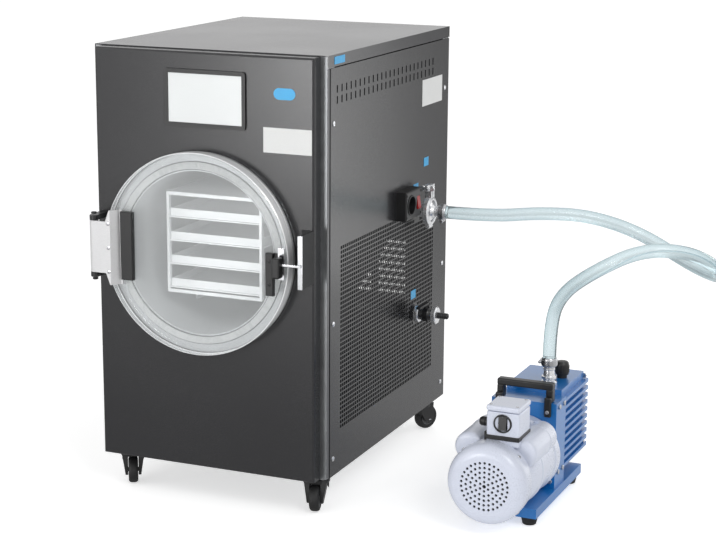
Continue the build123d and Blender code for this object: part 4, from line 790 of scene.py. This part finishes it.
# terminal box with a lid, a dark saddle under it whose black band round the box's foot is a painted shadow line, a
# ring round the switch and a cable gland
bm = bmesh.new()
add_box(bm, (BOX_X - 30, BOX_FRONT, 160), (BOX_X + 30, BOX_FRONT + 62, BOX_TOP - 11.2))
box = make("terminal_box", bm, WHITE, "cabinet")
bm = bmesh.new()
add_box(bm, (BOX_X - 7.6, BOX_FRONT - 2, SWITCH_Z - 12.6), (BOX_X + 7.6, BOX_FRONT + 9.4, SWITCH_Z + 12.6))
carve(box, make("box_cutter", bm, HOLE, "cabinet"))
round_edges(box, 3, 3, 30)
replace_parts(box, "junction_box")
bm = bmesh.new()
add_box(bm, (BOX_X - 30.8, BOX_FRONT - 0.8, BOX_TOP - 10.4), (BOX_X + 30.8, BOX_FRONT + 62.8, BOX_TOP))
make("terminal_lid", bm, WHITE, "cabinet", bevel=3.4, segments=3)
bm = bmesh.new()
for dx in (-24, 24):
    for dy in (7, 55):
        add_screw(bm, (BOX_X + dx, BOX_FRONT + dy, BOX_TOP - 0.2), UP, 3, 1.2)
make("lid_screws", bm, ZINCED, "cabinet")
# black band round the box's foot: painted shadow line, and a dark block on its left side
bm = bmesh.new()
add_box(bm, (BOX_X - 32, BOX_FRONT - 2.4, 171.6), (BOX_X + 31.4, BOX_FRONT + 62.6, 179.6))
add_box(bm, (BOX_X - 34, BOX_FRONT + 1, 166), (BOX_X - 28, BOX_FRONT + 58, 184))
make("box_saddle_shadow_band", bm, BLACK, "cabinet", bevel=1.2)
bm = bmesh.new()
add_turned(bm, (BOX_X, BOX_FRONT, SWITCH_Z), FORWARD,
           [(-0.4, 14.2), (-0.4, 17), (2.2, 16.4), (2.8, 15.6), (2.8, 14.2), (-0.4, 14.2)], 40)
add_turned(bm, (BOX_X - 30, BOX_FRONT + 15, SWITCH_Z - 4), (-1, 0, 0),
           [(-1, 0), (-1, 8.6), (3, 8.6), (3.4, 7.4), (5, 7.4), (6, 8.4), (13, 8), (16, 6), (16.6, 4), (16.6, 0)], 32)
make("switch_ring", bm, BLACK, "cabinet", bevel=0.2)

# carrying handle with a fuller bar and legs screwed to the casting
bm = bmesh.new()
add_box(bm, (470, HANDLE_Y - 9, 218), (576, HANDLE_Y + 9, 231))
for x in (470, 563):
    add_box(bm, (x, HANDLE_Y - 9, 195), (x + 13, HANDLE_Y + 9, 220))
    add_box(bm, (x, CASING_Y - 8, 170), (x + 13, CASING_Y, 207))
carry = make("carry_handle", bm, BLACK, "cabinet", bevel=3.0, segments=3)
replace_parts(carry, "pump_handle")
bm = bmesh.new()
for x in (476.5, 569.5):
    add_screw(bm, (x, CASING_Y - 8, 180), FORWARD, 3.6, 1.8)
make("handle_screws", bm, ZINCED, "cabinet")

# casting: bolts on its front face, back plate and right side, then sight glass and drain plug
bm = bmesh.new()
for dx in (-53, 53):
    add_nut(bm, (PUMP_X + dx, CASING_Y - 0.2, 48), FORWARD, 4.6, 4)
for dx in (-54, 54):
    for z in (64, 130, 196):
        add_nut(bm, (PUMP_X + dx, PUMP_BACK - 9.4, z), BACKWARD, 4.6, 3.6)
for y in (262, 290):
    for z in (62, 186):
        add_nut(bm, (PUMP_X + CASING_HALF - 0.2, y, z), (1, 0, 0), 4.2, 3.4)
make("casting_bolts", bm, ZINCED, "cabinet", smooth=20)
bm = bmesh.new()
add_turned(bm, (PUMP_X + 18, PUMP_BACK - 0.4, 96), BACKWARD,
           [(-1, 0), (-1, 17), (1.4, 17), (2.6, 15.6), (2.6, 12), (1.2, 11.4), (1.2, 0)], 40)
add_turned(bm, (PUMP_X - 24, PUMP_BACK - 0.4, 68), BACKWARD,
           [(-1, 0), (-1, 10), (2.4, 10), (2.4, 6), (3, 6), (3, 0)], 6)
make("sight_glass", bm, BRIGHT, "cabinet", bevel=0.3)

# exhaust cap with a knurled rim
KNURLS, KNURL_RADIUS = 20, 12.7
bm = bmesh.new()
add_turned(bm, (EXHAUST_X, EXHAUST_Y, CASTING_TOP), UP,
           [(0, 0), (0, 9.6), (6, 9.6), (6.6, 12.4), (9, 13), (25, 13), (28, 12.4), (31, 10), (32, 7), (32, 0)], 40)
for step in range(KNURLS):
    angle = 2 * math.pi * step / KNURLS
    x, y = EXHAUST_X + KNURL_RADIUS * math.cos(angle), EXHAUST_Y + KNURL_RADIUS * math.sin(angle)
    add_rod(bm, (x, y, CASTING_TOP + 10), (x, y, CASTING_TOP + 24), 0.9, 8, 0.3)
cap = make("exhaust_knob", bm, BLACK, "cabinet")
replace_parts(cap, "exhaust_cap")

# feet with a tapered rubber shape
bm = bmesh.new()
for x in (PUMP_X - 48, PUMP_X + 48):
    for y in (146, 386):
        add_turned(bm, (x, y, 0), UP, [(0, 0), (0, 11), (1, 12.4), (12, 15), (16, 15), (16, 0)], 36)
feet = make("rubber_feet", bm, RUBBER, "cabinet")
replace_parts(feet, "pump_feet")


# ------------------------------------------------------------------ vacuum hose
HOSE_ROUTE = (
    (291.5, 450, 488), (385, 450, 488), (471, 476, 497), (560, 515, 492), (650, 561, 456), (752, 548, 405),
    (823, 481, 402), (842, 391, 436), (805, 308, 484), (727, 262, 492), (637, 263, 441), (570, 304, 386),
    (543, 330, 326), (543, 330, 257),
)
HOSE_RADIUS = 12.5

curve = bpy.data.curves.new("hose", "CURVE")
curve.dimensions = "3D"
line = curve.splines.new("NURBS")
line.points.add(len(HOSE_ROUTE) - 1)
for point, place in zip(line.points, HOSE_ROUTE):
    point.co = (*spot(*place), 1)
line.order_u = 3
line.use_endpoint_u = True
line.resolution_u = 14
curve.bevel_depth = HOSE_RADIUS / 1000
curve.bevel_resolution = 8
curve.use_fill_caps = True
curve.materials.append(HOSE)
hose = bpy.data.objects.new("hose", curve)
bpy.context.collection.objects.link(hose)
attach(hose, "cabinet")
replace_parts(hose, "vacuum_hose")


# ------------------------------------------------------------------ floor, lights and world
# The floor and the world show white where the camera sees them, while the object is lit at a plain level.
FLOOR_HALF, FLOOR_DROP, FLOOR_ROUGH, FLOOR_GREY = 14, 0.0005, 0.7, 0.86
FLOOR_GLOW, FLOOR_FILL = 0.55, 0.275          # emission for the camera and through glass, and for every other ray
# gloss sees the floor darker towards the object, as it does between the lamps of a studio: the first and
# the last distance from its middle, and the floor's tone there
NEAR, FAR, NEAR_TONE = 0.8, 3.6, 0.05
BEHIND_FROM, BEHIND_TO, BEHIND_TONE = -0.6, 0.2, 0.72     # but beside and behind the object it stays light
DEEP_FROM, DEEP_TO, DEEP_TONE = 1.1, 2.8, 0.20            # and far behind it is dark again
WORLD_LIGHT, WORLD_GLOW = 0.54, 0.46          # for every ray, and what rays that see the backdrop add
# a dark flag behind the right side, seen by gloss alone, so that side falls off to the back
FLAG_AT, FLAG_EDGE, FLAG_CORE, FLAG_DEPTH = (0.42, 0.9075, 0), 0.78, 0.95, 0.90
# lamps: name, place, aim, width and height, power
LAMPS = (
    ("key", (2.6, -2.2, 3.0), (0, 0, 0.4), (1.6, 1.6), 46),
    ("front card", (-1.15, -3.4, 0.52), (-0.2, -0.3, 0.6), (0.7, 0.8), 24),
    ("side card", (0.98, 1.22, 0.48), (0.045, 0.0, 0.5), (0.7, 0.9), 3.4),
    ("fill", (-2.6, -2.4, 1.8), (-0.2, -0.3, 0.4), (1.4, 1.8), 13),
)


def seen_white(n, l, strength, *rays):
    """A factor of strength for rays that see the backdrop: from the camera, through glass, or as named."""
    path = n.new("ShaderNodeLightPath")
    seen = path.outputs["Is Camera Ray"]
    for ray in ("Is Transmission Ray", *rays):
        seen = calc(n, l, "MAXIMUM", seen, path.outputs[ray])
    return calc(n, l, "MULTIPLY", seen, strength)


bm = bmesh.new()
bmesh.ops.create_grid(bm, x_segments=1, y_segments=1, size=FLOOR_HALF)
floor_mesh = bpy.data.meshes.new("floor")
bm.to_mesh(floor_mesh)
bm.free()
floor = bpy.data.objects.new("floor", floor_mesh)
bpy.context.collection.objects.link(floor)
floor.location = (0, 0, -FLOOR_DROP)
mat, n, l, bsdf = tree("pale floor")
bsdf.inputs["Roughness"].default_value = FLOOR_ROUGH
bsdf.inputs["Emission Color"].default_value = (1, 1, 1, 1)
l.new(calc(n, l, "MAXIMUM", seen_white(n, l, FLOOR_GLOW), FLOOR_FILL), bsdf.inputs["Emission Strength"])
place = n.new("ShaderNodeTexCoord").outputs["Object"]
reach = n.new("ShaderNodeVectorMath")
reach.operation = "LENGTH"
l.new(place, reach.inputs[0])
apart = n.new("ShaderNodeSeparateXYZ")
l.new(place, apart.inputs[0])
near = spread_out(n, l, reach.outputs["Value"], NEAR, FAR, NEAR_TONE, 1)
behind = calc(n, l, "MULTIPLY", spread_out(n, l, apart.outputs["Y"], BEHIND_FROM, BEHIND_TO), BEHIND_TONE)
deep = spread_out(n, l, apart.outputs["Y"], DEEP_FROM, DEEP_TO, 1, DEEP_TONE)
tone = calc(n, l, "MULTIPLY", calc(n, l, "MAXIMUM", near, behind), deep)
glossy = n.new("ShaderNodeLightPath").outputs["Is Glossy Ray"]
tone = mix(n, l, "FLOAT", glossy, 1, tone)
l.new(mix(n, l, "RGBA", tone, (0, 0, 0, 1), (FLOOR_GREY, FLOOR_GREY, FLOOR_GREY, 1)), bsdf.inputs["Base Color"])
floor_mesh.materials.append(mat)

world = bpy.data.worlds.new("world")
bpy.context.scene.world = world
world.use_nodes = True
n, l = world.node_tree.nodes, world.node_tree.links
back = n["Background"]
back.inputs["Color"].default_value = (1, 1, 1, 1)
light = calc(n, l, "ADD", seen_white(n, l, WORLD_GLOW, "Is Glossy Ray"), WORLD_LIGHT)
facing = n.new("ShaderNodeVectorMath")
facing.operation = "DOT_PRODUCT"
facing.inputs[1].default_value = FLAG_AT
l.new(n.new("ShaderNodeTexCoord").outputs["Generated"], facing.inputs[0])
flag = spread_out(n, l, facing.outputs["Value"], FLAG_EDGE, FLAG_CORE, 0, FLAG_DEPTH)
glossy = n.new("ShaderNodeLightPath").outputs["Is Glossy Ray"]
kept = calc(n, l, "SUBTRACT", 1, calc(n, l, "MULTIPLY", flag, glossy))
l.new(calc(n, l, "MULTIPLY", light, kept), back.inputs["Strength"])

for name, place, aim, size, power in LAMPS:
    lamp = bpy.data.lights.new(name, "AREA")
    lamp.shape = "RECTANGLE"
    lamp.size, lamp.size_y = size
    lamp.energy = power
    holder = bpy.data.objects.new(name, lamp)
    bpy.context.collection.objects.link(holder)
    holder.location = place
    holder.rotation_euler = (Vector(aim) - Vector(place)).to_track_quat("-Z", "Y").to_euler()
    holder.visible_camera = False

bpy.context.scene.view_settings.view_transform = "Standard"
